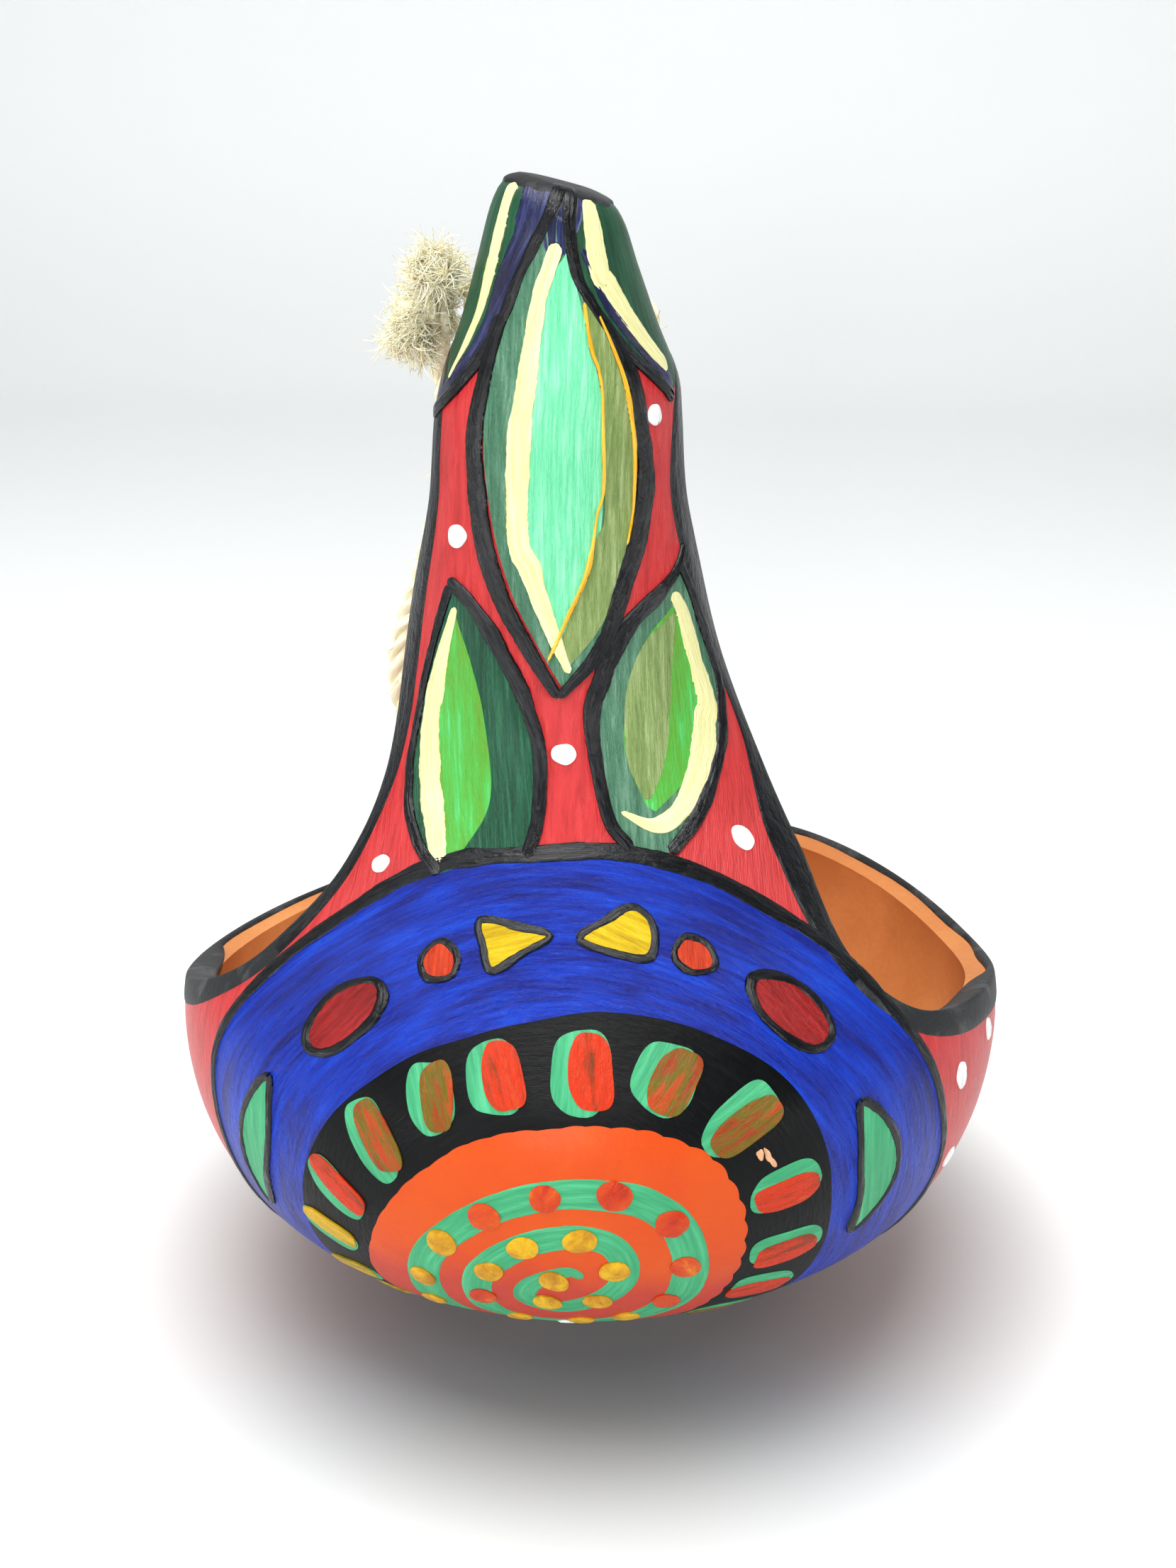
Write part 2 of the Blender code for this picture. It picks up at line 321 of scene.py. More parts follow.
def patch(name, outline, paint, level, thickness=0.03, edge=0.6, spacing=1.3, brush="up"):
    """A field of paint: a closed outline in chart positions, raised off the gourd.

    level says which layer it lies on and thickness how far it bulges, within edge of its outline;
    spacing is the mesh's step. All three are in millimetres.
    """
    flat, middle = plane_of(outline)
    low, high = flat.min(0), flat.max(0)
    rows = np.arange(low[1], high[1], spacing * 0.866)
    columns = np.arange(low[0], high[0], spacing)
    grid = np.array([(x + (n % 2) * spacing / 2, y) for n, y in enumerate(rows) for x in columns])
    grid = grid[inside(grid, flat)]
    grid = grid[distance_to(grid, flat) > spacing * 0.45]
    made = delaunay_2d_cdt([Vector(p) for p in np.vstack([flat, grid])], [], [list(range(len(flat)))], 1,
                           1e-5)
    flat_points = np.array([tuple(p) for p in made[0]])
    rise = np.clip(distance_to(flat_points, flat) / edge, 0, 1)
    rise = np.sqrt(rise * (2 - rise))
    chart = np.stack([flat_points[:, 0] * MM / middle, height_at(flat_points[:, 1] * MM)], -1)
    lift = (LAYER * level + LIFT + thickness * rise) * MM
    points = surface(chart[:, 0], chart[:, 1], lift)
    foot = surface(chart[:, 0], chart[:, 1], np.full(len(chart), -0.00005))
    faces = [tuple(face) for face in facing_out(points, made[2])]
    points, faces, used = skirted(points, faces, foot)
    item = new_object(name, points, faces, [paint])
    along, across = brush_lines(chart, brush)
    add_brush(item, np.concatenate([along, along[used], along[used]]),
              np.concatenate([across, across[used], across[used]]), level)
    return item


def facing_out(points, faces):
    """Turns each face so that its normal points away from the gourd's centre line."""
    points = np.asarray(points)
    turned = []
    for face in faces:
        a, b, c = points[face[0]], points[face[1]], points[face[2]]
        middle = (a + b + c) / 3
        outward = np.array([middle[0], middle[1], (middle[2] - BOWL_MIDDLE) * 0.5])
        turned.append(face if np.cross(b - a, c - a) @ outward > 0 else face[::-1])
    return turned


def brush_lines(chart, direction):
    """How far each chart position lies along and across strokes that run in the direction.

    The direction is "ring" round the spiral, "up" or an angle in degrees clockwise from up.
    """
    if direction == "ring":
        turn, out = ring_inverse(chart)
        return turn * 0.045, out
    along = chart[:, 0] * radius_at(chart[:, 1])
    up = arc_at(chart[:, 1])
    turn = math.radians(0 if direction == "up" else direction)
    return along * math.sin(turn) + up * math.cos(turn), along * math.cos(turn) - up * math.sin(turn)


def outline_between(left, right, samples=60):
    """A closed outline from two edges that both run from top to bottom."""
    return np.vstack([spline(left, samples), spline(right, samples)[::-1]])


def ridged(samples, sides, rng):
    """Heights of a stroke's surface: bristle ridges that wander slowly along it."""
    knots = max(4, samples // 6)
    rough = rng.uniform(0.35, 1.0, (knots, sides))
    places = np.linspace(0, knots - 1, samples)
    return np.stack([np.interp(places, np.arange(knots), rough[:, k]) for k in range(sides)], -1)


def stroke(name, line, widths, paint, level, height=0.3, sides=13, wobble=0.16, closed=False):
    """One raised brush stroke along chart positions; widths in millimetres, spread evenly.

    height is its greatest thickness in millimetres, sides its bristle ridges and wobble how much
    its width wanders.
    """
    line = spline(line, 600, closed)
    if closed:
        line = np.vstack([line, line[:1]])
    track = surface(line[:, 0], line[:, 1])
    reach = lengths_along(track)
    samples = int(np.clip(reach[-1] / 0.0005, 24, 560))
    lengths = np.linspace(0, reach[-1], samples)
    line = np.stack([np.interp(lengths, reach, line[:, k]) for k in range(2)], -1)
    widths = np.interp(np.linspace(0, 1, samples), np.linspace(0, 1, len(widths)), widths)
    rng = np.random.default_rng(SEED + sum(map(ord, name)))
    rough = np.convolve(rng.normal(size=samples + 12), np.ones(7) / 7, "same")[6:-6]
    points = surface(line[:, 0], line[:, 1])
    tangent = np.gradient(points, axis=0)
    tangent /= np.linalg.norm(tangent, axis=1)[:, None] + 1e-12
    around, up, out = frames_at(line[:, 0], line[:, 1])
    side = np.cross(tangent, out)
    along_side, up_side = (side * around).sum(1), (side * up).sum(1)
    ridges = ridged(samples, sides, rng)
    ends = np.minimum(lengths, lengths[-1] - lengths)
    fade = np.ones(samples)
    if closed:
        blend = np.clip(ends / 0.003, 0, 1)
        ridges = 0.8 + (ridges - 0.8) * blend[:, None]
        rough = rough * blend
    else:
        fade = np.clip(ends / (widths * MM * 0.6 + 1e-6), 0, 1) ** 0.5
        taper = np.clip(ends / (widths * MM * 0.5), 0.02, 1)
        widths = widths * np.sqrt(taper * (2 - taper))
    widths = np.maximum(widths * (1 + wobble * rough), 0.05) * MM
    rows, acrosses = [], []
    for column, share in enumerate([-1.0, *np.linspace(-0.98, 0.98, sides), 1.0]):
        offset = share * widths / 2
        angle, level_height = step_on_surface(line[:, 0], line[:, 1], along_side * offset, up_side * offset)
        if abs(share) == 1.0:
            lift = np.full(samples, -0.05)
        else:
            dome = (1 - abs(share) ** 3) * ridges[:, column - 1] * fade
            lift = LAYER * level + LIFT + height * dome
        rows.append(surface(angle, level_height, lift * MM))
        acrosses.append(offset)
    points = np.stack(rows, 1).reshape(-1, 3)
    item = new_object(name, points, facing_out(points, grid_faces(samples, sides + 2)), [paint])
    add_brush(item, np.repeat(lengths, sides + 2), np.stack(acrosses, 1).ravel(), level)
    return item


def blob_outline(centre, width, length, turn=0.0, wobble=0.06, corners=40, square=2.0):
    """An oval in chart positions about a chart position; sizes in millimetres, turn in degrees."""
    rng = np.random.default_rng(SEED + int(abs(centre[0] * 1000 + centre[1] * 1e5)))
    t = np.linspace(0, 2 * math.pi, corners, endpoint=False)
    phase = rng.uniform(0, 6.3, 3)
    waves = np.sin(2 * t + phase[0]) + 0.6 * np.sin(3 * t + phase[1]) + 0.4 * np.sin(5 * t + phase[2])
    radius = 1 + wobble * waves
    power = 2.0 / square
    x = np.sign(np.cos(t)) * abs(np.cos(t)) ** power * width / 2 * radius
    y = np.sign(np.sin(t)) * abs(np.sin(t)) ** power * length / 2 * radius
    turn = math.radians(turn)
    along = (x * math.cos(turn) + y * math.sin(turn)) * MM
    up = (y * math.cos(turn) - x * math.sin(turn)) * MM
    angle, height = step_on_surface(np.full(corners, centre[0]), np.full(corners, centre[1]), along, up)
    return np.stack([angle, height], -1)


def moved(centre, along, up):
    """A chart position moved by millimetres."""
    angle, height = step_on_surface(np.array([centre[0]]), np.array([centre[1]]), along * MM, up * MM)
    return np.array([angle[0], height[0]])


# ---------- Materials ----------
def linear(colour):
    """A display colour from 0 to 255 as the linear values that the shader takes."""
    values = [c / 255 for c in colour]
    return tuple(v / 12.92 if v <= 0.04045 else ((v + 0.055) / 1.055) ** 2.4 for v in values) + (1.0,)


class Nodes:
    """Short calls for the nodes of one material."""

    def __init__(self, name):
        self.material = bpy.data.materials.new(name)
        self.material.use_nodes = True
        self.tree = self.material.node_tree
        self.shader = self.tree.nodes["Principled BSDF"]

    def add(self, kind, inputs=(), **settings):
        """A node of a kind, with its settings and with each input linked or given a value."""
        node = self.tree.nodes.new(kind)
        for key, value in settings.items():
            setattr(node, key, value)
        for key, value in dict(inputs).items():
            if isinstance(value, bpy.types.NodeSocket):
                self.tree.links.new(value, node.inputs[key])
            else:
                node.inputs[key].default_value = value
        return node

    def link(self, socket, name):
        self.tree.links.new(socket, self.shader.inputs[name])

    def even(self, name, value):
        """Sets a value that is the same all over on the shader's own input."""
        self.shader.inputs[name].default_value = value

    def place(self):
        """Where each point lies in the frame, in metres."""
        return self.add("ShaderNodeTexCoord").outputs["Object"]

    def brush(self, along, across):
        """Where each point lies along and across the brush strokes, scaled."""
        place = self.add("ShaderNodeAttribute", attribute_name="brush").outputs["Vector"]
        return self.add("ShaderNodeMapping", {"Vector": place, "Scale": (along, across, 1.0)}).outputs[0]

    def noise(self, vector, scale, detail=4.0, roughness=0.55, distortion=0.0):
        return self.add("ShaderNodeTexNoise", {"Vector": vector, "Scale": scale, "Detail": detail,
                                               "Roughness": roughness,
                                               "Distortion": distortion}).outputs["Fac"]

    def ramp(self, value, stops):
        node = self.add("ShaderNodeValToRGB", {"Fac": value})
        elements = node.color_ramp.elements
        while len(elements) < len(stops):
            elements.new(0.5)
        for element, (place, colour) in zip(elements, stops):
            element.position = place
            element.color = colour
        return node.outputs["Color"]

    def mix(self, factor, first, second):
        return self.add("ShaderNodeMix", {0: factor, 6: first, 7: second}, data_type="RGBA").outputs[2]

    def math(self, operation, first, second):
        return self.add("ShaderNodeMath", {0: first, 1: second}, operation=operation).outputs[0]

    def scaled(self, value, times, plus):
        """The value times a number, plus a number or another value."""
        return self.math("ADD", self.math("MULTIPLY", value, times), plus)

    def bump(self, height, strength, distance):
        node = self.add("ShaderNodeBump", {"Height": height, "Strength": strength, "Distance": distance})
        self.link(node.outputs["Normal"], "Normal")


def brushed_paint(name, tones, rough=0.32, relief=0.5, streaks=1.3, contrast=0.5, mottled=0.25, sheen=0.3,
                  run=0.07):
    """Acrylic laid on with a brush: streaks of close tones along the strokes and fine ridges.

    The tones are display colours from 0 to 255, darkest first.
    """
    nodes = Nodes(name)
    streak = nodes.noise(nodes.brush(run, streaks), 1.0, 5.0, 0.65, 0.3)
    cloud = nodes.noise(nodes.brush(0.06, 0.2), 1.0, 3.0)
    both = nodes.scaled(streak, 1 - mottled, nodes.math("MULTIPLY", cloud, mottled))
    spread = contrast * 0.20
    places = np.linspace(0.5 - spread, 0.5 + spread, len(tones))
    nodes.link(nodes.ramp(both, [(float(p), linear(t)) for p, t in zip(places, tones)]), "Base Color")
    ridges = nodes.noise(nodes.brush(0.3, streaks * 1.7), 1.0, 5.0, 0.65, 0.25)
    nodes.link(nodes.scaled(ridges, 0.24, rough - 0.12), "Roughness")
    nodes.even("Specular IOR Level", sheen)
    nodes.bump(nodes.scaled(streak, 0.6, ridges), relief, 0.0009)
    return nodes.material


def matte_black():
    """Worn black rim paint: dull, with pale scuffs on its crest."""
    nodes = Nodes("rim_black")
    place = nodes.place()
    fine = nodes.noise(place, 900.0, 6.0, 0.7)
    coarse = nodes.noise(place, 160.0, 5.0, 0.6, 0.4)
    scuffs = nodes.math("MULTIPLY", nodes.ramp(coarse, [(0.50, (0, 0, 0, 1)), (0.72, (1, 1, 1, 1))]), fine)
    nodes.link(nodes.mix(scuffs, linear((18, 19, 21)), linear((96, 97, 99))), "Base Color")
    nodes.even("Roughness", 0.5)
    nodes.even("Specular IOR Level", 0.35)
    nodes.bump(nodes.math("ADD", fine, coarse), 0.6, 0.0006)
    return nodes.material


def inside_orange():
    """The dull orange of the inside, clouded and finely grained."""
    nodes = Nodes("inside_orange")
    place = nodes.place()
    cloud = nodes.noise(place, 30.0, 3.0)
    grain = nodes.noise(place, 700.0, 5.0, 0.65)
    tone = nodes.scaled(cloud, 0.75, nodes.math("MULTIPLY", grain, 0.25))
    stops = [(0.35, linear((196, 118, 58))), (0.52, linear((210, 133, 70))), (0.68, linear((222, 148, 84)))]
    nodes.link(nodes.ramp(tone, stops), "Base Color")
    nodes.even("Roughness", 0.7)
    nodes.bump(grain, 0.25, 0.0003)
    return nodes.material


def ground_red():
    """Red ground of the gourd's outside, brushed up and down it."""
    nodes = Nodes("ground_red")
    streak = nodes.noise(nodes.brush(0.7, 0.12), 1.0, 5.0, 0.6, 0.6)
    fine = nodes.noise(nodes.brush(2.2, 0.5), 1.0, 5.0, 0.65, 0.5)
    stops = [(0.34, linear((168, 24, 26))), (0.5, linear((188, 34, 36))), (0.7, linear((198, 48, 48)))]
    nodes.link(nodes.ramp(streak, stops), "Base Color")
    nodes.link(nodes.scaled(fine, 0.24, 0.20), "Roughness")
    nodes.even("Specular IOR Level", 0.4)
    nodes.bump(nodes.math("ADD", fine, streak), 0.6, 0.0006)
    return nodes.material


def disc_red():
    """Brick red of the disc, washed with orange towards its upper edge."""
    nodes = Nodes("disc_red")
    place = nodes.place()
    height = nodes.add("ShaderNodeSeparateXYZ", {"Vector": place}).outputs["Z"]
    cloud = nodes.noise(place, 70.0, 5.0, 0.6, 0.6)
    fine = nodes.noise(place, 600.0, 5.0, 0.6)
    wash = nodes.scaled(height, 95.0, nodes.math("MULTIPLY", cloud, 0.9))
    brick = nodes.mix(cloud, linear((170, 48, 34)), linear((184, 60, 40)))
    orange = nodes.mix(cloud, linear((196, 58, 12)), linear((204, 84, 14)))
    blend = nodes.add("ShaderNodeMapRange", {"Value": wash, "From Min": 3.0,
                                             "From Max": 3.7}).outputs["Result"]
    nodes.link(nodes.mix(blend, brick, orange), "Base Color")
    nodes.link(nodes.scaled(fine, 0.2, 0.28), "Roughness")
    nodes.even("Specular IOR Level", 0.2)
    nodes.bump(nodes.math("ADD", fine, cloud), 0.25, 0.0004)
    return nodes.material


def sisal():
    """Pale dry plant fibre, tone varying from fibre to fibre."""
    nodes = Nodes("sisal_fibres")
    grain = nodes.noise(nodes.brush(0.25, 5.0), 1.0, 4.0, 0.6)
    stops = [(0.30, linear((220, 200, 148))), (0.44, linear((248, 238, 200))), (0.60,
                                                                                linear((254, 250, 228)))]
    nodes.link(nodes.ramp(grain, stops), "Base Color")
    nodes.even("Roughness", 0.6)
    nodes.even("Subsurface Weight", 0.4)
    nodes.even("Subsurface Radius", (0.003, 0.0026, 0.002))
    nodes.bump(grain, 0.4, 0.0003)
    return nodes.material


def make_paints():
    """Every paint and fibre of the object, by a short name.

    After its tones, a brushed paint's values are those of brushed_paint, in its order.
    """
    paints = {"ground": ground_red(), "rim": matte_black(), "inside": inside_orange(), "sisal": sisal()}
    streaked = (0.28, 0.8, 0.45, 1.1, 0.1, 0.2)
    dabbed = (0.3, 0.6, 0.22, 1.3, 0.1, 0.2, 0.16)
    tones = {
        "outline": ([(2, 2, 4), (5, 6, 9), (18, 20, 28)], 0.18, 0.45, 0.62, 0.9, 0.25, 0.36),
        "blue": ([(2, 10, 70), (2, 24, 124), (0, 48, 170), (4, 74, 200)], 0.30, 0.8, 0.7, 1.0, 0.5, 0.28),
        "black": ([(4, 4, 5), (6, 7, 8), (14, 14, 16)], 0.34, 0.3, 0.9, 0.9, 0.25, 0.12),
        "mint": ([(44, 136, 92), (60, 158, 108), (84, 184, 132)], 0.34, 0.4, 1.0, 0.9, 0.25, 0.2),
        "leafmint": ([(84, 200, 138), (112, 220, 166), (168, 236, 200)], 0.26, 0.8, 1.3, 0.9, 0.25, 0.5),
        "dull": ([(24, 74, 50), (62, 116, 86), (126, 168, 142)], 0.28, 0.9, 0.8, 1.2, 0.25, 0.6),
        "deep": ([(8, 48, 32), (16, 76, 50), (50, 120, 84)], 0.28, 0.7, 1.4, 1.0, 0.25, 0.4),
        "tip": ([(10, 48, 32), (20, 70, 44), (34, 88, 60)], 0.34, 0.4, 1.0, 0.8, 0.25, 0.3),
        "navy": ([(5, 6, 26), (12, 17, 60), (60, 74, 128)], 0.22, 0.4, 0.8, 1.2, 0.25, 0.45),
        "cream": ([(218, 212, 138), (238, 234, 168), (250, 248, 204)], 0.36, 0.7, 1.4, 0.8, 0.25, 0.4),
        "olive": ([(72, 104, 40), (128, 152, 82), (190, 204, 150)], 0.26, 1.0, 0.9, 1.3, 0.25, 0.5),
        "lime": ([(112, 130, 22), (84, 158, 46), (76, 178, 70), (96, 208, 140)], 0.30, 0.7, 0.9, 1.0, 0.5,
                 0.35),
        "yellow": ([(164, 128, 2), (208, 174, 6), (220, 196, 40)], 0.26, 0.8, 0.9, 0.9, 0.25, 0.25),
        "gold": ([(200, 146, 10), (226, 172, 22), (240, 206, 80)], 0.22, 0.4, 1.0, 0.6, 0.25, 0.5),
        "orange": ([(150, 30, 6), (186, 50, 8), (206, 74, 20)], 0.28, 0.7, 0.8, 0.9, 0.25, 0.25),
        "scarlet": ([(90, 4, 6), (136, 12, 12), (170, 34, 34)], 0.26, 0.8, 0.9, 1.0, 0.25, 0.3),
        "streak_orange": ([(70, 58, 12), (140, 46, 10), (198, 48, 8), (186, 44, 8), (206, 84, 30)],
                          *streaked),
        "streak_olive": ([(60, 76, 16), (150, 50, 10), (94, 92, 16), (178, 60, 12), (80, 70, 14)], *streaked),
        "streak_yellow": ([(96, 96, 16), (150, 130, 16), (206, 160, 14), (120, 130, 50)], *streaked),
        "dab_warm": ([(120, 24, 12), (182, 48, 16), (196, 74, 18), (222, 150, 14)], *dabbed),
        "dab_gold": ([(126, 84, 14), (176, 120, 14), (214, 166, 16), (140, 128, 40)], *dabbed),
        "white": ([(222, 222, 220), (240, 240, 240), (252, 252, 252)], 0.38, 0.6, 0.9, 0.6),
        "chip": ([(188, 128, 86), (216, 160, 120), (232, 184, 146)], 0.6, 0.6, 0.9, 0.9),
    }
    for name, values in tones.items():
        paints[name] = brushed_paint(name, *values)
    paints["disc"] = disc_red()
    return paints


PAINT = make_paints()


# ---------- Gourd shell ----------
def turned(rings, segments):
    """The points and faces of a closed turned body from (height, radius) rings, following the lean.

    A ring without a radius lies on the gourd's surface.
    """
    angles = np.linspace(0, 2 * math.pi, segments, endpoint=False)
    points = []
    for height, radius in rings:
        if radius is None:
            points.append(surface(angles, np.full(segments, height)))
        else:
            across = radius * np.sin(angles)
            drop = tilt_drop(across, height)
            points.append(np.stack([lean_at(height) + across, -radius * np.cos(angles), height - drop], -1))
    points = np.vstack(points)
    faces = grid_faces(len(rings), segments, wrap_columns=True)
    base = len(points)
    points = np.vstack([points, points[:segments].mean(0), points[base - segments:base].mean(0)])
    last = (len(rings) - 1) * segments
    for k in range(segments):
        n = (k + 1) % segments
        faces.append((k, base, n))
        faces.append((last + k, last + n, base + 1))
    return points, faces


def plain_mesh(name, points, faces):
    """A helper object with its faces outwards."""
    mesh = new_mesh(name, points, faces)
    turn_outwards(mesh)
    return linked(name, mesh)


def opening_edge(samples):
    """The opening's edge: chart positions and the widths of the black band, in metres."""
    scale = 0.045
    flat = [(math.radians(a) * scale, h * MM, out * MM, inn * MM) for a, h, out, inn in OPENING]
    edge = spline(flat, samples, closed=True)
    edge[:, 0] /= scale
    return edge


def opening_cutter():
    """A body that fills the opening from inside the wall to outside it."""
    count, rings = 220, 14
    lifts = (-WALL - 0.004, 0.006)
    edge = opening_edge(count)[:, :2]
    centre = np.array([math.radians(OPENING_CENTRE[0]), OPENING_CENTRE[1] * MM])
    points, faces = [], []
    for lift in lifts:
        for step in range(1, rings + 1):
            chart = centre + (edge - centre) * step / rings
            points.append(surface(chart[:, 0], chart[:, 1], np.full(count, lift)))
    points = np.vstack(points)
    half = rings * count
    inner = grid_faces(rings, count, wrap_columns=True)
    faces = inner + [tuple(i + half for i in f) for f in inner]
    faces += [(half - count + k, half - count + (k + 1) % count, 2 * half - count + (k + 1) % count,
               2 * half - count + k) for k in range(count)]
    for n, lift in enumerate(lifts):
        points = np.vstack([points, surface(centre[0], centre[1], lift)])
        faces += [(2 * half + n, n * half + k, n * half + (k + 1) % count) for k in range(count)]
    return plain_mesh("opening_cutter", points, faces)


def cut_with(item, cutter):
    """Takes the cutter's body away from the item."""
    modifier = item.modifiers.new(cutter.name, "BOOLEAN")
    modifier.operation = "DIFFERENCE"
    modifier.solver = "EXACT"
    modifier.object = cutter


def make_shell():
    """The hollow gourd with its opening and its bore, in place of the CAD's shell."""
    outer_rings = [(height, None) for height in height_at(np.linspace(0, ARC[-1], 190))]
    outer = plain_mesh("gourd", *turned(outer_rings, 240))
    inner_rings = [(WALL, FOOT_RADIUS)]
    for height in height_at(np.linspace(0.004, ARC[-1], 120)):
        slope = slope_at(height)
        length = math.sqrt(1 + slope * slope)
        inner_height = height + WALL * slope / length
        if inner_rings[-1][0] + 0.0004 < inner_height < CAVITY_TOP:
            inner_rings.append((inner_height, radius_at(height) - WALL / length))
    cutters = [plain_mesh("cavity_cutter", *turned(inner_rings, 160)), opening_cutter(), bore_cutter()]
    for cutter in cutters:
        cut_with(outer, cutter)
    depsgraph = bpy.context.evaluated_depsgraph_get()
    mesh = bpy.data.meshes.new_from_object(outer.evaluated_get(depsgraph))
    for helper in [outer] + cutters:
        bpy.data.objects.remove(helper, do_unlink=True)
    shell = linked("gourd_body", mesh)
    mesh.materials.clear()
    mesh.materials.append(PAINT["ground"])
    mesh.materials.append(PAINT["inside"])
    finish_shell(shell)
    return shell


def bore_cutter():
    """A round bar along the bore."""
    bm = bmesh.new()
    bmesh.ops.create_cone(bm, cap_ends=True, segments=48, radius1=BORE_DIAMETER / 2,
                          radius2=BORE_DIAMETER / 2, depth=0.08)
    bmesh.ops.rotate(bm, verts=bm.verts, cent=(0, 0, 0),
                     matrix=Vector((0, 0, 1)).rotation_difference(Vector((1, 0, 0))).to_matrix())
    bmesh.ops.translate(bm, verts=bm.verts, vec=BORE)
    mesh = bpy.data.meshes.new("bore_cutter")
    bm.to_mesh(mesh)
    bm.free()
    return linked("bore_cutter", mesh)


def finish_shell(shell):
    """Splits the shell's faces into painted outside and orange inside, and shades it."""
    mesh = shell.data
    centres = np.zeros(len(mesh.polygons) * 3)
    mesh.polygons.foreach_get("center", centres)
    centres = centres.reshape(-1, 3)
    height = np.clip(centres[:, 2], 0, HEIGHT)
    out = np.hypot(centres[:, 0] - lean_at(height), centres[:, 1])
    slope = slope_at(height)
    depth = (radius_at(height) - out) / np.sqrt(1 + slope * slope)
    # Inside faces lie clearly under the surface, above the foot and below the closed tip
    is_inside = (depth > WALL * 0.12) & (centres[:, 2] > WALL * 0.6) & (centres[:, 2] < 0.1955)
    mesh.polygons.foreach_set("material_index", is_inside.astype(np.int32))
    mesh.shade_smooth()
    mesh.set_sharp_from_angle(angle=math.radians(40))
    places = np.zeros(len(mesh.vertices) * 3)
    mesh.vertices.foreach_get("co", places)
    places = places.reshape(-1, 3)
    angle = np.arctan2(places[:, 0], -places[:, 1])
    add_brush(shell, angle * np.maximum(np.hypot(places[:, 0], places[:, 1]), 0.005), places[:, 2])
    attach(shell, "gourd")
    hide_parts("gourd_shell")


# Angle over the crest, from its outer corner, where the band's rounded part starts
CREST_START = 0.12


def rim_widths(edge):
    """Along the edge: how far behind it is, the band's width outside and inside, and its last angle."""
    rng = np.random.default_rng(SEED)
    turn = np.arange(len(edge)) * 2 * math.pi / len(edge)
    wave = sum(rng.normal() * np.sin(n * turn + rng.uniform(0, 6.3)) / n ** 0.6 for n in range(6, 60, 3))
    # 1 round the back of the bowl, 0 at its front and up the neck
    in_front = np.clip((np.abs(np.degrees(edge[:, 0]) - 175) - 88) / 14, 0, 1)
    behind = 1 - np.where(edge[:, 1] < 0.075, in_front, 1.0)
    out_width = np.maximum(edge[:, 2] + wave * 0.00010, 0.0012)
    in_width = np.maximum(edge[:, 3] + wave[::-1] * 0.00030, 0.0008) * (1 - behind) + 0.00002
    last = (math.pi - CREST_START) * (1 - 0.60 * behind * (1 + 0.10 * wave))
    return behind, out_width, in_width, last


def rim_rows(edge):
    """The band's rows of points: up the outside, over the crest and down the inside."""
    count, angle, height = len(edge), edge[:, 0], edge[:, 1]
    behind, out_width, in_width, last = rim_widths(edge)
    here = surface(angle, height)
    tangent = np.roll(here, -1, 0) - np.roll(here, 1, 0)
    tangent /= np.linalg.norm(tangent, axis=1)[:, None]
    around, up, out = frames_at(angle, height)
    away = np.cross(tangent, out)
    away_along, away_up = (away * around).sum(1), (away * up).sum(1)
    shares = (1.0, 0.9, 0.7, 0.45, 0.2, 0.05)
    rows = []
    for share in shares:
        a, h = step_on_surface(angle, height, away_along * out_width * share, away_up * out_width * share)
        rows.append(surface(a, h, np.full(count, 0.00026 * min(1.0, (1 - share) * 6) - 0.00002)))
    outer_corner = surface(angle, height, np.full(count, 0.0002))
    inner_corner = surface(angle, height, np.full(count, -WALL - 0.0002))
    middle, half = (outer_corner + inner_corner) / 2, (outer_corner - inner_corner) / 2
    for share in np.linspace(0, 1, 11):
        theta = (CREST_START + (last - CREST_START) * share)[:, None]
        bulge = 0.0009 * np.sin(theta) ** 0.6 * (1 - behind[:, None] * share ** 6)
        rows.append(middle + half * np.cos(theta) - away * bulge)
    lip = rows[-1]
    for share in reversed(shares):
        a, h = step_on_surface(angle, height, away_along * in_width * share, away_up * in_width * share)
        inner = surface(a, h, np.full(count, -WALL - 0.00026 * min(1.0, (1 - share) * 6) + 0.00003))
        sunk = lip + away * 0.0003 * share
        rows.append(inner + (sunk - inner) * behind[:, None])
    return rows


def make_rim():
    """The black band that wraps over the opening's edge: outside, crest and wavy inside.

    Round the back it stops half way across the crest and leaves the bare cut showing. Up the neck
    its outside is glossy outline paint.
    """
    edge = opening_edge(620)
    rows = rim_rows(edge)
    points = np.stack(rows, 1).reshape(-1, 3)
    faces = grid_faces(len(edge), len(rows), wrap_rows=True)
    rim = new_object("rim_band", points, faces, ["rim", "outline"])
    turn_outwards(rim.data)
    along = lengths_along(surface(edge[:, 0], edge[:, 1]))
    across = np.linspace(-0.008, 0.008, len(rows))
    add_brush(rim, np.repeat(along, len(rows)), np.tile(across, len(edge)))
    for polygon in rim.data.polygons:
        row, column = divmod(polygon.index, len(rows) - 1)
        if column < 5 and edge[row, 1] > 0.072:
            polygon.material_index = 1


# ---------- Paint on the neck and the tip ----------
# Degrees from the front towards +X and millimetres up, from the top down: the two black lines under
# the green tip and the two sides of the centre leaf
TIP_LINE_LEFT = [(8, 201), (-2, 196), (-13, 190.5), (-22, 185.5), (-28, 180), (-36, 174.5), (-50, 168),
                 (-72, 162)]
TIP_LINE_RIGHT = [(20, 201), (14, 195), (17, 188), (25, 182.5), (35, 177.5), (46, 173), (60, 169), (74, 165)]
LEAF_LEFT = [(14, 199), (-2, 195), (-15, 188), (-26, 181), (-30, 173), (-28, 160), (-23, 148), (-13, 135),
             (-3, 126), (6, 118)]
LEAF_RIGHT = [(15, 199), (12, 192), (24, 181), (35, 174), (40, 164), (40, 156), (33, 144), (25, 131),
              (16, 124), (6, 118)]


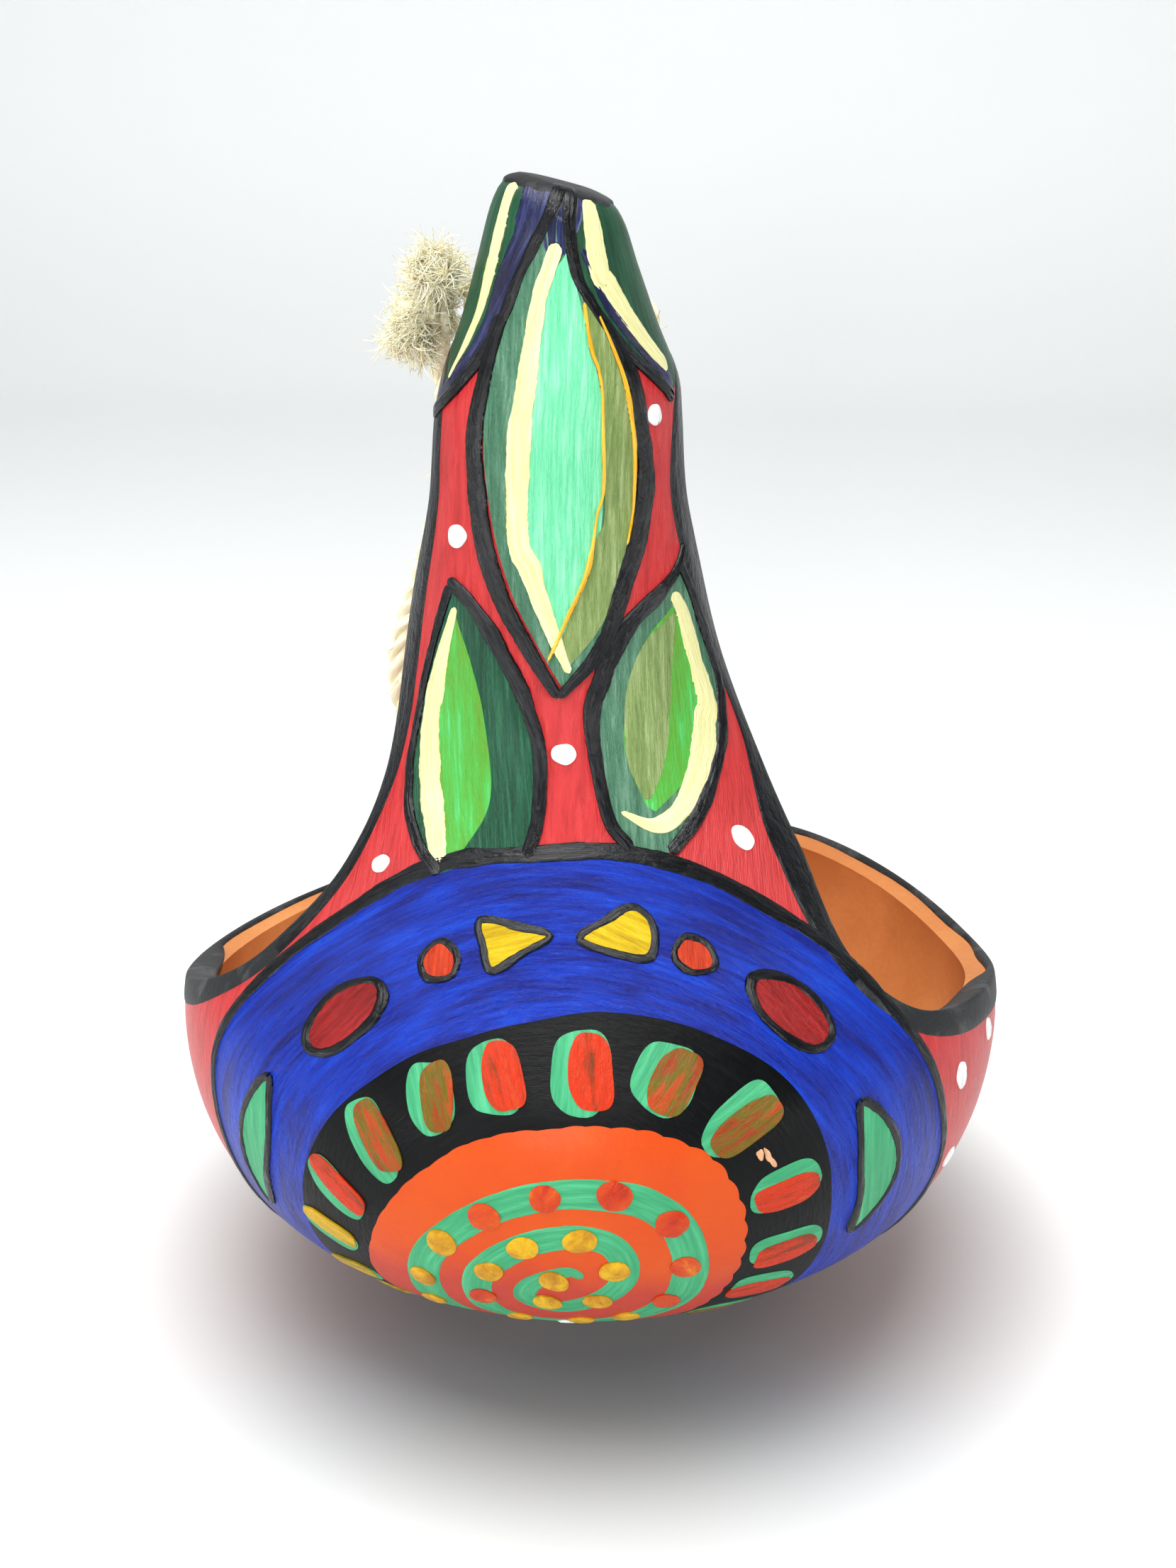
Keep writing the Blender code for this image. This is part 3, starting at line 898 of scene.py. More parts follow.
def paint_tip():
    """The green tip with its navy shadows, cream strokes and black lines, and the black cap."""
    tip_green()
    points = [(-14, 201), (-17, 194), (-25, 189), (-32, 184), (-38, 178), (-48, 172), (-72, 164)]
    stroke("tip_navy_left", neck(points), [6.4, 6.0, 5.2, 4.4, 3.8, 3.4, 3.0], "navy", 1, 0.2, sides=17)
    points = [(8, 202), (8, 198), (4, 193), (4, 188)]
    stroke("tip_dark", neck(points), [9.0, 8.6, 6.6, 4.0], "navy", 1, 0.2, sides=21)
    points = [(24, 191), (30, 187), (36, 182.5), (46, 178), (58, 173.5), (76, 167)]
    stroke("tip_navy_right", neck(points), [1.2, 1.8, 2.6, 3.0, 3.2, 3.2], "navy", 1, 0.2)
    points = [(-47, 199.4), (-46, 194), (-47, 189), (-48, 183), (-53, 176), (-62, 168.5)]
    stroke("tip_cream_left", neck(points), [2.2, 2.5, 2.7, 2.4, 1.9, 0.9], "cream", 3, 0.16)
    points = [(39, 199.4), (35, 195), (35, 190), (41, 185), (50, 180), (61, 175), (74, 170)]
    stroke("tip_cream_right", neck(points), [2.2, 3.6, 4.4, 4.2, 3.9, 3.7, 3.5], "cream", 3, 0.16)
    for name, centre in (("tip_cream_back_left", -125), ("tip_cream_back_right", 135)):
        stroke(name, neck([(centre, 199), (centre + 3, 190), (centre, 181), (centre - 4, 172)]),
               [2.0, 3.0, 2.8, 0.8], "cream", 3, 0.16)
    stroke("tip_line_left", neck(TIP_LINE_LEFT), [2.6, 2.2, 1.9, 2.0, 2.4, 2.8, 3.0, 3.0], "outline", 4, 0.4)
    stroke("tip_line_right", neck(TIP_LINE_RIGHT), [2.6, 2.4, 2.0, 1.8, 2.0, 2.2, 2.6, 2.8], "outline", 4,
           0.4)
    cap()


def tip_green():
    """The green field right round the tip, down to the black lines and the opening's top."""
    columns, rows = 200, 26
    angles = np.linspace(-math.pi, math.pi, columns, endpoint=False)
    line = np.vstack([np.array(TIP_LINE_LEFT[::-1], float), np.array(TIP_LINE_RIGHT[1:], float)])
    low = np.interp(np.degrees(angles), line[:, 0], line[:, 1] - 1.6, left=165.5, right=166.0) * MM
    turned_away = abs(np.degrees(angles))
    behind = np.interp(turned_away, [72, 80, 95, 180], [0.1655, 0.1658, 0.1690, 0.1722])
    low = np.where(turned_away > 72, behind, low)
    top = 0.2008
    grid = []
    for row in range(rows):
        height = low + (top - low) * row / (rows - 1)
        sink = min(1.0, row / 2) * 0.16 - 0.04
        grid.append(surface(angles, height, np.full(columns, sink * MM)))
    points = np.vstack(grid)
    faces = facing_out(points, grid_faces(rows, columns, wrap_columns=True))
    cone = new_object("tip_green", points, faces, ["tip"])
    heights = np.repeat(np.linspace(0.165, top, rows), columns)
    add_brush(cone, heights, np.tile(angles, rows) * 0.015)


def cap():
    """Black paint over the flat tip, running a little way down its side."""
    columns = 160
    angles = np.linspace(-math.pi, math.pi, columns, endpoint=False)
    ragged = 0.00014 * (np.sin(5 * angles) + np.sin(9 * angles + 1) + np.sin(14 * angles + 2))
    rows = []
    for share in np.linspace(0, 1, 8):
        height = 0.1990 + ragged + (HEIGHT - 0.1990 - ragged) * share
        lift = min(1.0, share * 4) * 0.42 - 0.05
        rows.append(surface(angles, height, np.full(columns, lift * (1 - 0.6 * share ** 3) * MM)))
    rim = rows[-1]
    centre = rim.mean(0)
    for share in (0.9, 0.6, 0.3, 0.05):
        rows.append(centre + (rim - centre) * share + np.array([0, 0, 0.0001]))
    points = np.vstack(rows + [centre[None] + np.array([0, 0, 0.0001])])
    faces = grid_faces(len(rows), columns, wrap_columns=True)
    base = (len(rows) - 1) * columns
    faces += [(base + k, base + (k + 1) % columns, len(points) - 1) for k in range(columns)]
    item = new_object("tip_cap", points, faces, ["rim"])
    add_brush(item, points[:, 0], points[:, 1])


def paint_centre_leaf():
    """The tall leaf up the front of the neck."""
    outline = outline_between(neck(LEAF_LEFT), neck(LEAF_RIGHT))
    patch("leaf_centre", outline, "dull", 2, spacing=1.1)
    mint_left = [(11, 190), (-5, 182), (-10, 170), (-11, 158), (-9, 146), (-2, 134), (8, 124)]
    mint_right = [(13, 190), (20, 180), (23, 172), (25, 162), (24, 150), (17, 138), (9, 124)]
    patch("leaf_centre_mint", outline_between(neck(mint_left), neck(mint_right)), "leafmint", 3, spacing=1.1)
    olive_left = [(21, 182), (23, 174), (25, 165), (25, 152), (20, 143), (11, 132), (4, 125)]
    olive_right = [(26, 182), (35, 174), (40, 162), (38, 149), (31, 139), (22, 130), (6, 121)]
    patch("leaf_centre_olive", outline_between(neck(olive_left), neck(olive_right)), "olive", 4, spacing=1.1)
    points = [(5, 191.5), (-1, 187), (-7, 181), (-10, 170), (-11, 158), (-11, 148), (-5, 138), (1, 130),
              (8, 121)]
    stroke("leaf_centre_rib", neck(points), [2.4, 2.8, 3.2, 4.0, 4.4, 4.2, 3.6, 2.8, 1.4], "cream", 5, 0.16)
    points = [(21, 182), (22, 175), (25, 167), (25, 156), (21, 147), (17, 139), (8, 130), (1, 123)]
    stroke("leaf_centre_gold_left", neck(points), [0.5, 0.8, 0.5, 0.6, 0.4, 0.8, 0.9, 0.4], "gold", 6, 0.35,
           sides=7, wobble=0.3)
    points = [(29, 180), (34, 175), (38, 167), (40, 159), (38, 150), (33, 142)]
    stroke("leaf_centre_gold_right", neck(points), [0.4, 0.8, 1.0, 0.7, 0.5, 0.3], "gold", 6, 0.35, sides=7,
           wobble=0.3)
    points = [(-30, 180), (-33, 172), (-33, 162), (-31, 154), (-26, 144), (-17, 134), (-7, 126), (4, 117)]
    stroke("leaf_centre_line_left", neck(points), [3.0, 3.0, 3.2, 3.6, 3.6, 3.2, 2.8, 1.8], "outline", 6,
           0.45)
    points = [(36, 177), (43, 169), (45, 162), (46, 155), (41, 146), (31, 136), (21, 126), (4, 117)]
    stroke("leaf_centre_line_right", neck(points), [2.6, 3.0, 3.6, 3.8, 3.6, 3.0, 2.6, 1.8], "outline", 6,
           0.45)


def paint_lower_leaves():
    """The two leaves at the foot of the neck."""
    left_left = [(-40, 134), (-45, 124), (-47, 115), (-47, 107), (-44, 99), (-36, 92), (-27, 88)]
    left_right = [(-40, 134), (-27, 131), (-15, 124), (-6, 115), (-3, 107), (-4, 99), (-7, 92)]
    patch("leaf_left", outline_between(neck(left_left), neck(left_right)), "deep", 1)
    lime_right = [(-35, 129), (-26, 121), (-20, 112), (-17, 101), (-23, 91)]
    lime_left = [(-37, 129), (-39, 117), (-38, 109), (-35, 100), (-29, 90)]
    patch("leaf_left_lime", outline_between(neck(lime_left), neck(lime_right)), "lime", 2)
    points = [(-36, 130.5), (-40, 120), (-41, 112), (-38, 103), (-32, 95), (-27, 88.5)]
    stroke("leaf_left_cream", neck(points), [1.4, 3.4, 5.2, 5.4, 4.8, 3.2], "cream", 3, 0.16)
    stroke("leaf_left_line_left", neck(left_left), [2.4, 2.2, 2.0, 2.0, 2.2, 2.6, 2.4], "outline", 5, 0.4)
    stroke("leaf_left_line_right", neck([(-41, 135)] + left_right[1:]), [2.2, 2.8, 3.0, 2.8, 2.6, 2.6, 2.4],
           "outline", 5, 0.4)
    right_left = [(60, 137), (46, 133), (30, 128), (19, 120), (13, 109), (13, 101), (17, 93)]
    right_right = [(60, 137), (66, 129), (68, 119), (61, 110), (48, 102), (36, 96), (26, 92)]
    patch("leaf_right", outline_between(neck(right_left), neck(right_right)), "dull", 1)
    lime_left = [(50, 130), (36, 125), (27, 117), (22, 107), (24, 99)]
    lime_right = [(56, 130), (57, 121), (52, 112), (42, 104), (26, 98)]
    patch("leaf_right_lime", outline_between(neck(lime_left), neck(lime_right)), "lime", 2)
    olive_left = [(50, 129), (34, 124), (25, 115), (22, 106), (24, 100)]
    olive_right = [(52, 129), (46, 121), (40, 113), (34, 106), (26, 100)]
    patch("leaf_right_olive", outline_between(neck(olive_left), neck(olive_right)), "olive", 3)
    points = [(53, 132.5), (57, 124), (57, 117), (52, 110), (44, 103.5), (35, 98.5), (25, 96), (17, 98.5)]
    stroke("leaf_right_cream", neck(points), [2.6, 4.2, 4.8, 5.2, 5.0, 4.2, 3.0, 0.8], "cream", 4, 0.16)
    stroke("leaf_right_line_left", neck([(66, 140)] + right_left), [1.4, 2.2, 3.0, 3.6, 3.2, 2.6, 2.4, 2.4],
           "outline", 5, 0.4)
    stroke("leaf_right_line_right", neck(right_right), [2.4, 2.6, 2.6, 2.6, 2.4, 2.4, 2.4], "outline", 5, 0.4)


# ---------- Paint on the bowl, round the spiral ----------
# Degrees round the spiral clockwise from straight up, and degrees out from it
BLUE_EDGE = [(0, 55.6), (14, 57.2), (30, 57.8), (50, 57.0), (64, 54.0), (78, 54.5), (92, 56.0), (115, 53),
             (140, 48), (180, 43), (220, 46), (245, 50), (268, 52.5), (282, 55), (300, 56.8), (318, 58),
             (336, 58), (350, 55.8)]
RING_EDGE = [(0, 32.5), (16, 34), (38, 35.8), (52, 36.4), (66, 35.4), (88, 33.9), (110, 34.5), (140, 35.5),
             (180, 35), (220, 36), (266, 36), (287, 34.3), (316, 32.8), (336, 31.4), (350, 31.8)]
DISC_EDGE = [(0, 19.5), (16, 20.4), (30, 22.0), (42, 22.9), (54, 23.5), (68, 23.1), (78, 22.8), (90, 21.6),
             (102, 21.7), (118, 21.1), (145, 21.5), (180, 23), (215, 26), (245, 28.2), (264, 25.8),
             (283, 22.8), (299, 21.4), (320, 20.4), (337, 19.8)]
SPIRAL = [(105, 2.6), (70, 1.2), (-114, 2.2), (-124, 5.0), (-137, 7.0), (-157, 7.5), (-177, 7.6),
          (-202, 7.0), (-234, 7.1), (-262, 7.6), (-286, 7.8), (-309, 7.6), (-333, 6.7), (-366, 5.8),
          (-406, 6.2), (-440, 8.2), (-458, 10.3), (-475, 12.1), (-493, 14.1), (-509, 15.0), (-532, 15.6),
          (-562, 15.6), (-595, 15.5), (-609, 16.0), (-629, 15.7), (-646, 15.5), (-661, 15.3), (-679, 14.3),
          (-694, 13.0), (-714, 12.0), (-737, 11.6), (-763, 12.2), (-787, 13.9), (-808, 16.6), (-823, 18.5),
          (-839, 20.4), (-858, 22.8)]
# Degrees round, degrees out, paint, width and length in millimetres
DABS = [(-9, 11.4, "dab_warm", 5.3, 4.9), (28, 13.3, "dab_warm", 5.8, 5.4),
        (60, 15.0, "dab_warm", 5.8, 5.2), (89, 15.0, "dab_warm", 5.8, 4.6),
        (118, 14.9, "dab_warm", 5.4, 4.6), (145, 14.3, "dab_gold", 5.2, 4.6),
        (171, 13.8, "dab_gold", 5.2, 4.6), (-154, 14.6, "dab_gold", 5.2, 4.6),
        (-122, 12.3, "dab_warm", 5.3, 4.6), (-94, 9.0, "dab_gold", 5.2, 4.6),
        (-48, 6.1, "dab_gold", 5.4, 4.6), (22, 6.0, "dab_gold", 5.6, 4.8), (85, 6.4, "dab_gold", 5.3, 4.6),
        (143, 7.2, "dab_gold", 5.2, 4.4), (-162, 6.6, "dab_gold", 5.2, 4.4),
        (-145, 1.7, "dab_gold", 5.6, 4.4), (-48, 12.1, "dab_warm", 5.3, 5.3),
        (-78, 14.9, "dab_gold", 5.8, 5.0), (-104, 18.7, "dab_gold", 5.2, 4.6),
        (-122, 21.5, "dab_gold", 5.0, 4.4)]
# Degrees round, degrees out, width and length in millimetres, tilt in degrees, paint laid over
OVALS = [(5, 26.0, 10.2, 13.8, 3, "streak_orange"), (27, 28.0, 9.8, 12.8, 28, "streak_olive"),
         (48, 29.0, 8.4, 14.4, 60, "streak_olive"), (70, 28.9, 8.0, 12.8, 78, "streak_orange"),
         (90, 28.2, 7.8, 13.4, 86, "streak_orange"), (107, 27.4, 7.6, 13.4, 100, "streak_orange"),
         (126, 27.6, 8.0, 13.0, 115, "streak_olive"), (145, 28.0, 8.0, 13.0, 135, "streak_orange"),
         (163, 28.6, 8.0, 12.0, 150, "streak_olive"), (182, 29.0, 8.0, 12.0, 180, "streak_orange"),
         (201, 29.6, 8.0, 11.0, 200, "streak_olive"), (219, 31.4, 8.0, 10.0, 220, "streak_orange"),
         (236, 32.4, 7.0, 10.0, 245, "streak_yellow"), (251, 32.0, 5.6, 11.0, 265, "streak_yellow"),
         (267, 31.6, 6.0, 12.0, -72, "streak_yellow"), (283, 29.8, 6.8, 13.6, -52, "streak_orange"),
         (303, 27.8, 7.8, 14.4, -36, "streak_olive"), (323, 27.0, 7.8, 12.4, -20, "streak_olive"),
         (341, 26.1, 9.0, 13.0, -14, "streak_orange")]


def closed_ring(points, samples, scallop=0.0):
    """A closed outline round the spiral whose distance out follows the points, scalloped at its right."""
    points = np.array(points, float)
    turns = np.linspace(0, 360, samples, endpoint=False)
    out = np.interp(turns, np.append(points[:, 0], 360), np.append(points[:, 1], points[0, 1]))
    kernel = np.hanning(samples // 24 * 2 + 1)
    out = np.convolve(np.tile(out, 3), kernel / kernel.sum(), "same")[samples:2 * samples]
    angles = np.radians(turns)
    weight = 0.25 + 0.75 * np.clip(np.sin(angles), 0, 1)
    out = out + scallop * weight * abs(np.sin(angles * 22))
    out = out + 0.10 * np.sin(angles * 9) + 0.06 * np.sin(angles * 17)
    return np.stack([turns, out], -1)


def round_spline(points, samples):
    """A curve through points given as degrees round and degrees out from the spiral's middle."""
    points = np.array(points, float)
    turn = np.radians(points[:, 0])
    flat = spline(np.stack([points[:, 1] * np.sin(turn), points[:, 1] * np.cos(turn)], -1), samples)
    return np.stack([np.degrees(np.arctan2(flat[:, 0], flat[:, 1])), np.hypot(flat[:, 0], flat[:, 1])], -1)


def paint_bowl():
    """The blue, black and brick red fields, the spiral, its dabs and the ring of ovals."""
    blue = closed_ring(BLUE_EDGE, 260)
    patch("blue_field", ring(blue), "blue", 0, spacing=2.0, brush="ring")
    patch("black_field", ring(closed_ring(RING_EDGE, 260)), "black", 1, spacing=1.8, brush="ring")
    patch("disc", ring(closed_ring(DISC_EDGE, 440, 0.4)), "disc", 2, spacing=1.5, brush="ring")
    edge_line = np.stack([blue[:, 0], blue[:, 1] + 0.6], -1)[::4]
    widths = 1.9 + 1.3 * np.clip(np.cos(np.radians(edge_line[:, 0])) * 1.6, -0.5, 1)
    stroke("blue_outline", ring(edge_line), widths, "outline", 2, 0.3, closed=True)
    shares = [0, 0.03, 0.08, 0.3, 0.4, 0.5, 0.58, 0.68, 0.76, 0.88, 0.95, 1.0]
    widths = [1.6, 3.4, 4.4, 5.2, 5.4, 6.0, 6.4, 5.8, 5.4, 5.4, 6.6, 7.5]
    widths = np.interp(np.linspace(0, 1, 40), shares, widths)
    stroke("spiral", ring(round_spline(SPIRAL, 160)), widths, "mint", 3, 0.08, sides=17, wobble=0.04)
    for number, values in enumerate(DABS):
        dab(number, *values)
    for number, oval in enumerate(OVALS):
        ring_oval(number, *oval)
    patch("chip_small", blob_outline(ring([(57.6, 27.9)])[0], 1.3, 1.7, 20, 0.2), "chip", 4, 0.1, 0.3, 0.5)
    patch("chip_large", blob_outline(ring([(60, 28.6)])[0], 1.2, 3.4, -25, 0.25), "chip", 4, 0.1, 0.3, 0.5)
    patch("white_flake", blob_outline(ring([(180, 15.4)])[0], 3.6, 2.2, 10, 0.15), "white", 4, 0.3, 0.4, 0.5)


def dab(number, turn, out, paint, width, length):
    """A round dab pressed with the brush on the spiral."""
    centre = ring([(turn, out)])[0]
    patch(f"dab_{number}", blob_outline(centre, width, length, 15 * number, 0.03), paint, 6 + number * 0.1,
          0.25, edge=1.6, spacing=0.7, brush=37 * number % 180)


def ring_oval(number, turn, out, width, length, tilt, paint):
    """A mint oval in the black ring with a streaked one laid over its clockwise side."""
    rng = random.Random(SEED * 3 + number)
    centre = ring([(turn, out)])[0]
    side = math.radians(tilt)
    over_centre = moved(centre, width * 0.16 * math.cos(side), -width * 0.16 * math.sin(side))
    patch(f"oval_{number}", blob_outline(centre, width, length, tilt, 0.05, square=2.6), "mint", 3, 0.08,
          spacing=1.0, brush=tilt)
    tilt_over = tilt + rng.uniform(-4, 4)
    over = blob_outline(over_centre, width * 0.72, length * 0.92, tilt_over, 0.05, square=2.9)
    patch(f"oval_{number}_over", over, paint, 5 + number * 0.1, 0.1, spacing=0.9, brush=tilt_over)


def outlined(name, outline, paint, line=1.3, brush="up"):
    """A small painted shape with a raised black line round it."""
    patch(name, outline, paint, 4, 0.1, spacing=0.9, brush=brush)
    stroke(name + "_line", outline[::2], [line, line * 1.3, line * 0.85, line * 1.2, line * 0.95, line],
           "outline", 4, 0.42, sides=9, wobble=0.25, closed=True)


def paint_band():
    """Triangles, dots, ovals and crescents on the blue band."""
    triangle = [(-17.5, 47.2), (-9, 45.2), (-3.2, 43.7), (-9, 41.4), (-16.6, 39.6), (-17.4, 43.4)]
    outlined("triangle_left", ring(spline(triangle, 48, True)), "yellow", line=1.5, brush=70)
    petal = [(2.8, 43.4), (8, 46.6), (13, 49.4), (17, 47.4), (17.6, 42.6), (11, 41.8)]
    outlined("petal_right", ring(spline(petal, 48, True)), "yellow", line=1.5, brush=-60)
    for name, place, size in (("dot_left", (-27, 43.0), 6.6), ("dot_right", (26, 44.8), 6.4)):
        outlined(name, blob_outline(ring([place])[0], size, size * 1.12), "orange")
    for name, place, turn, brush in (("left", (-48, 42.6), 33, 40), ("right", (46, 44.4), -30, -40)):
        oval = blob_outline(ring([place])[0], 9.8, 16.4, turn, 0.03)
        outlined("red_oval_" + name, oval, "scarlet", line=1.7, brush=brush)
    left = [(-66, 44.2), (-75, 46.6), (-83, 47.2), (-90.5, 46.2), (-95.5, 44.2), (-86, 42.2), (-75, 41.6)]
    right = [(65, 42.0), (74, 45.0), (83, 45.0), (90, 41.6), (93, 38.6), (84, 38.8), (74, 39.4)]
    for name, crescent in (("crescent_left", left), ("crescent_right", right)):
        outlined(name, ring(spline(crescent, 60, True)), "mint", line=1.6)


def white_dots():
    """White dots on the red ground; those past the sides carry the pattern round the back."""
    front = [(55, 163, 4.2, 3.6), (-39, 142.6, 4.8, 4.0), (4, 107.8, 4.4, 3.6), (46, 91.8, 4.4, 4.6),
             (-43, 86.8, 4.0, 3.6)]
    for number, (angle, height, width, length) in enumerate(front):
        dot = blob_outline(neck([(angle, height)])[0], width, length, -20, 0.05)
        patch(f"white_dot_{number}", dot, "white", 2, 0.3, 0.9, 0.8)
    sides = [(ring([(78, 61.0)])[0], 4.2, 5.0), (ring([(93, 60.6)])[0], 3.6, 4.6),
             (ring([(79, 73.0)])[0], 3.6, 4.4)]
    rng = random.Random(SEED)
    for step in range(11):
        angle = math.radians(98 + step * 16.4)
        height = (0.036 if step % 2 else 0.020) + rng.uniform(-0.003, 0.003)
        sides.append((np.array([angle, height]), 4.2, 4.4))
    for number, (centre, width, length) in enumerate(sides):
        patch(f"white_dot_side_{number}", blob_outline(centre, width, length), "white", 2, 0.3, 0.9, 0.8)


# ---------- Rope ----------
ROPE_DIAMETER = 0.0046
ROPE_PITCH = 0.0150
STRANDS = 3
FIBRE_RADIUS = 0.00015
# The knot's middle, from the bore's
KNOT = (-0.0240, 0.0, 0.0)
# The loop's middle from the bore's, in metres: to the right and down
ROPE_PATH = (
    (-0.0225, 0.0000), (-0.0240, 0.0044), (-0.0240, 0.0100), (-0.0236, 0.0190), (-0.0248, 0.0350),
    (-0.0290, 0.0500), (-0.0334, 0.0630), (-0.0368, 0.0730), (-0.0376, 0.0820), (-0.0354, 0.0920),
    (-0.0275, 0.1020), (-0.0120, 0.1080), (0.0050, 0.1060), (0.0157, 0.0940), (0.0199, 0.0770),
    (0.0194, 0.0560), (0.0172, 0.0360), (0.0162, 0.0220), (0.0159, 0.0130), (0.0158, 0.0066),
    (0.0154, 0.0029), (0.0141, 0.0008), (0.0118, 0.0001), (0.0075, 0.0), (-0.0040, 0.0),
    (-0.0180, 0.0),
)
# How far the loop stands behind the bore in the end, and how far down most of that is reached
LOOP_SETBACK = 0.031
LOOP_SETBACK_DEPTH = 0.050


def loop_points(count):
    """The middle of the loop's rope, from the knot round to the end in the bore."""
    flat = spline(ROPE_PATH, count)
    behind = LOOP_SETBACK * (1 - np.exp(-flat[:, 1] / LOOP_SETBACK_DEPTH))
    return np.stack([flat[:, 0], behind, -flat[:, 1]], -1) + np.array(BORE)


def frames_along(points):
    """Tangents and two steady side directions along a line."""
    tangent = np.gradient(points, axis=0)
    tangent /= np.linalg.norm(tangent, axis=1)[:, None]
    side = np.cross(tangent[0], (0.3, 0.2, 1.0))
    sides = []
    for t in tangent:
        side = side - t * (side @ t)
        side = side / np.linalg.norm(side)
        sides.append(side)
    sides = np.array(sides)
    return tangent, sides, np.cross(tangent, sides)


def tube_faces(rows, sides, base):
    """Faces of a tube with closed ends, whose rings of points start at base."""
    faces = [tuple(base + i for i in f) for f in grid_faces(rows, sides, wrap_columns=True)]
    faces.append(tuple(base + k for k in range(sides)))
    faces.append(tuple(base + (rows - 1) * sides + k for k in reversed(range(sides))))
    return faces


def strands(name, points, pitch=ROPE_PITCH, spread=1.0):
    """Three twisted strands along the points, as one mesh, that may spread apart along them."""
    sides, rows = 14, len(points)
    tangent, side, other = frames_along(points)
    lengths = lengths_along(points)
    spread = np.broadcast_to(spread, rows)
    runs, faces, along, across = [], [], [], []
    for strand in range(STRANDS):
        twist = 2 * math.pi * (lengths / pitch + strand / STRANDS)
        lay = side * np.cos(twist)[:, None] + other * np.sin(twist)[:, None]
        centre = points + lay * (ROPE_DIAMETER * 0.25 * spread)[:, None]
        for k in range(sides):
            theta = 2 * math.pi * k / sides
            yarn = 1 + 0.09 * np.sin(4 * (theta - 1.7 * twist))
            ray = lay * math.cos(theta) + np.cross(tangent, lay) * math.sin(theta)
            runs.append(centre + ray * (ROPE_DIAMETER * 0.265 * yarn * spread ** 0.5)[:, None])
            along.append(lengths)
            across.append(np.full(rows, theta * 0.0013 + strand * 0.01))
        faces += tube_faces(rows, sides, strand * rows * sides)

    def ring_by_ring(values):
        """Puts values that run along the rope, side by side, in the order of the points."""
        return np.stack(values).reshape(STRANDS, sides, rows, -1).transpose(0, 2, 1, 3)

    item = new_object(name, ring_by_ring(runs).reshape(-1, 3), faces, ["sisal"])
    add_brush(item, ring_by_ring(along).ravel(), ring_by_ring(across).ravel())
    return item


def fibres(name, starts, heads, lengths, curl, body, seed, droop):
    """Loose fibres: thin curved tubes from the starts along the headings."""
    rng = np.random.default_rng(seed)
    steps, sides = 7, 3
    points, faces, along, across = [], [], [], []
    for start, head, length in zip(starts, heads, lengths):
        head = head / np.linalg.norm(head)
        bend = rng.normal(size=3)
        bend -= head * (bend @ head)
        bend /= np.linalg.norm(bend)
        s = np.linspace(0, 1, steps)
        sweep = curl * rng.uniform(1.0, 3.6)
        line = start + head * (np.sin(s * sweep) / sweep * length)[:, None]
        line = line + bend * ((1 - np.cos(s * sweep)) / sweep * length)[:, None]
        line[:, 2] -= droop * length * s ** 2
        _, side, other = frames_along(line)
        radius = FIBRE_RADIUS * rng.uniform(0.7, 1.4) * (1 - 0.6 * s)
        faces += tube_faces(steps, sides, len(points) * steps * sides)
        ring_points = []
        for k in range(sides):
            theta = 2 * math.pi * k / sides
            ring_points.append(line + (side * math.cos(theta) + other * math.sin(theta)) * radius[:, None])
        points.append(np.stack(ring_points, 1).reshape(-1, 3))
        along.append(np.repeat(s * length, sides))
        across.append(np.full(steps * sides, rng.uniform(0, 40) * MM))
    item = new_object(name, np.vstack(points), faces, ["sisal"], body)
    add_brush(item, np.concatenate(along), np.concatenate(across))
    return item


def hair_along(name, line, radius, count, lengths, out, body, seed, spread=0.25, curl=0.25, droop=0.0,
               first=0):
    """Fibres that lie along a line at a distance from it and stand off it a little."""
    rng = np.random.default_rng(seed)
    tangent, side, other = frames_along(line)
    picks = rng.integers(first, len(line), count)
    theta = rng.uniform(0, 2 * math.pi, count)
    share = rng.uniform(0.5, 1.0, count)
    rays = side[picks] * np.cos(theta)[:, None] + other[picks] * np.sin(theta)[:, None]
    around = np.cross(tangent[picks], rays)
    radius = np.broadcast_to(radius, len(line))[picks]
    heads = tangent[picks] + rays * out + around * 0.45 + rng.normal(size=(count, 3)) * spread
    starts = line[picks] + rays * (radius * share)[:, None]
    return fibres(name, starts, heads, rng.uniform(*lengths, count), curl, body, seed, droop)


def make_rope():
    """The rope: the loop that swings, the knot, the two loose ends and the fibres that stand off it."""
    path = loop_points(190)
    loop = strands("rope_strands", path)
    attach(loop, "hanging_loop")
    pieces = make_knot() + make_tails()
    pieces.append(hair_along("rope_fuzz", path[6:-14], ROPE_DIAMETER * 0.48, 260, (0.002, 0.006), 0.35,
                             "hanging_loop", SEED))
    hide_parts("rope_loop")


def make_knot():
    """The overhand knot: one tight turn of rope crossing itself, with fibres on end all over it."""
    t = np.linspace(0.35, 2 * math.pi + 0.1, 110)
    size = 0.0021
    local = np.stack([1.15 * (np.sin(t) + 1.55 * np.sin(2 * t)), np.cos(t) - 1.55 * np.cos(2 * t),
                      -1.5 * np.sin(3 * t)], -1) * size
    turn = Vector((0, 0, 1)).rotation_difference(Vector((-0.7, -0.5, 0.3))).to_matrix()
    line = local @ np.array(turn).T + np.array(BORE) + np.array(KNOT)
    knot = strands("knot_strands", line, pitch=0.0140)
    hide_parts("rope_knot")
    fuzz = hair_along("knot_fuzz", line, ROPE_DIAMETER * 0.55, 1200, (0.0030, 0.0062), 0.20, "gourd",
                      SEED + 5, 0.40, 0.9)
    return [knot, fuzz]


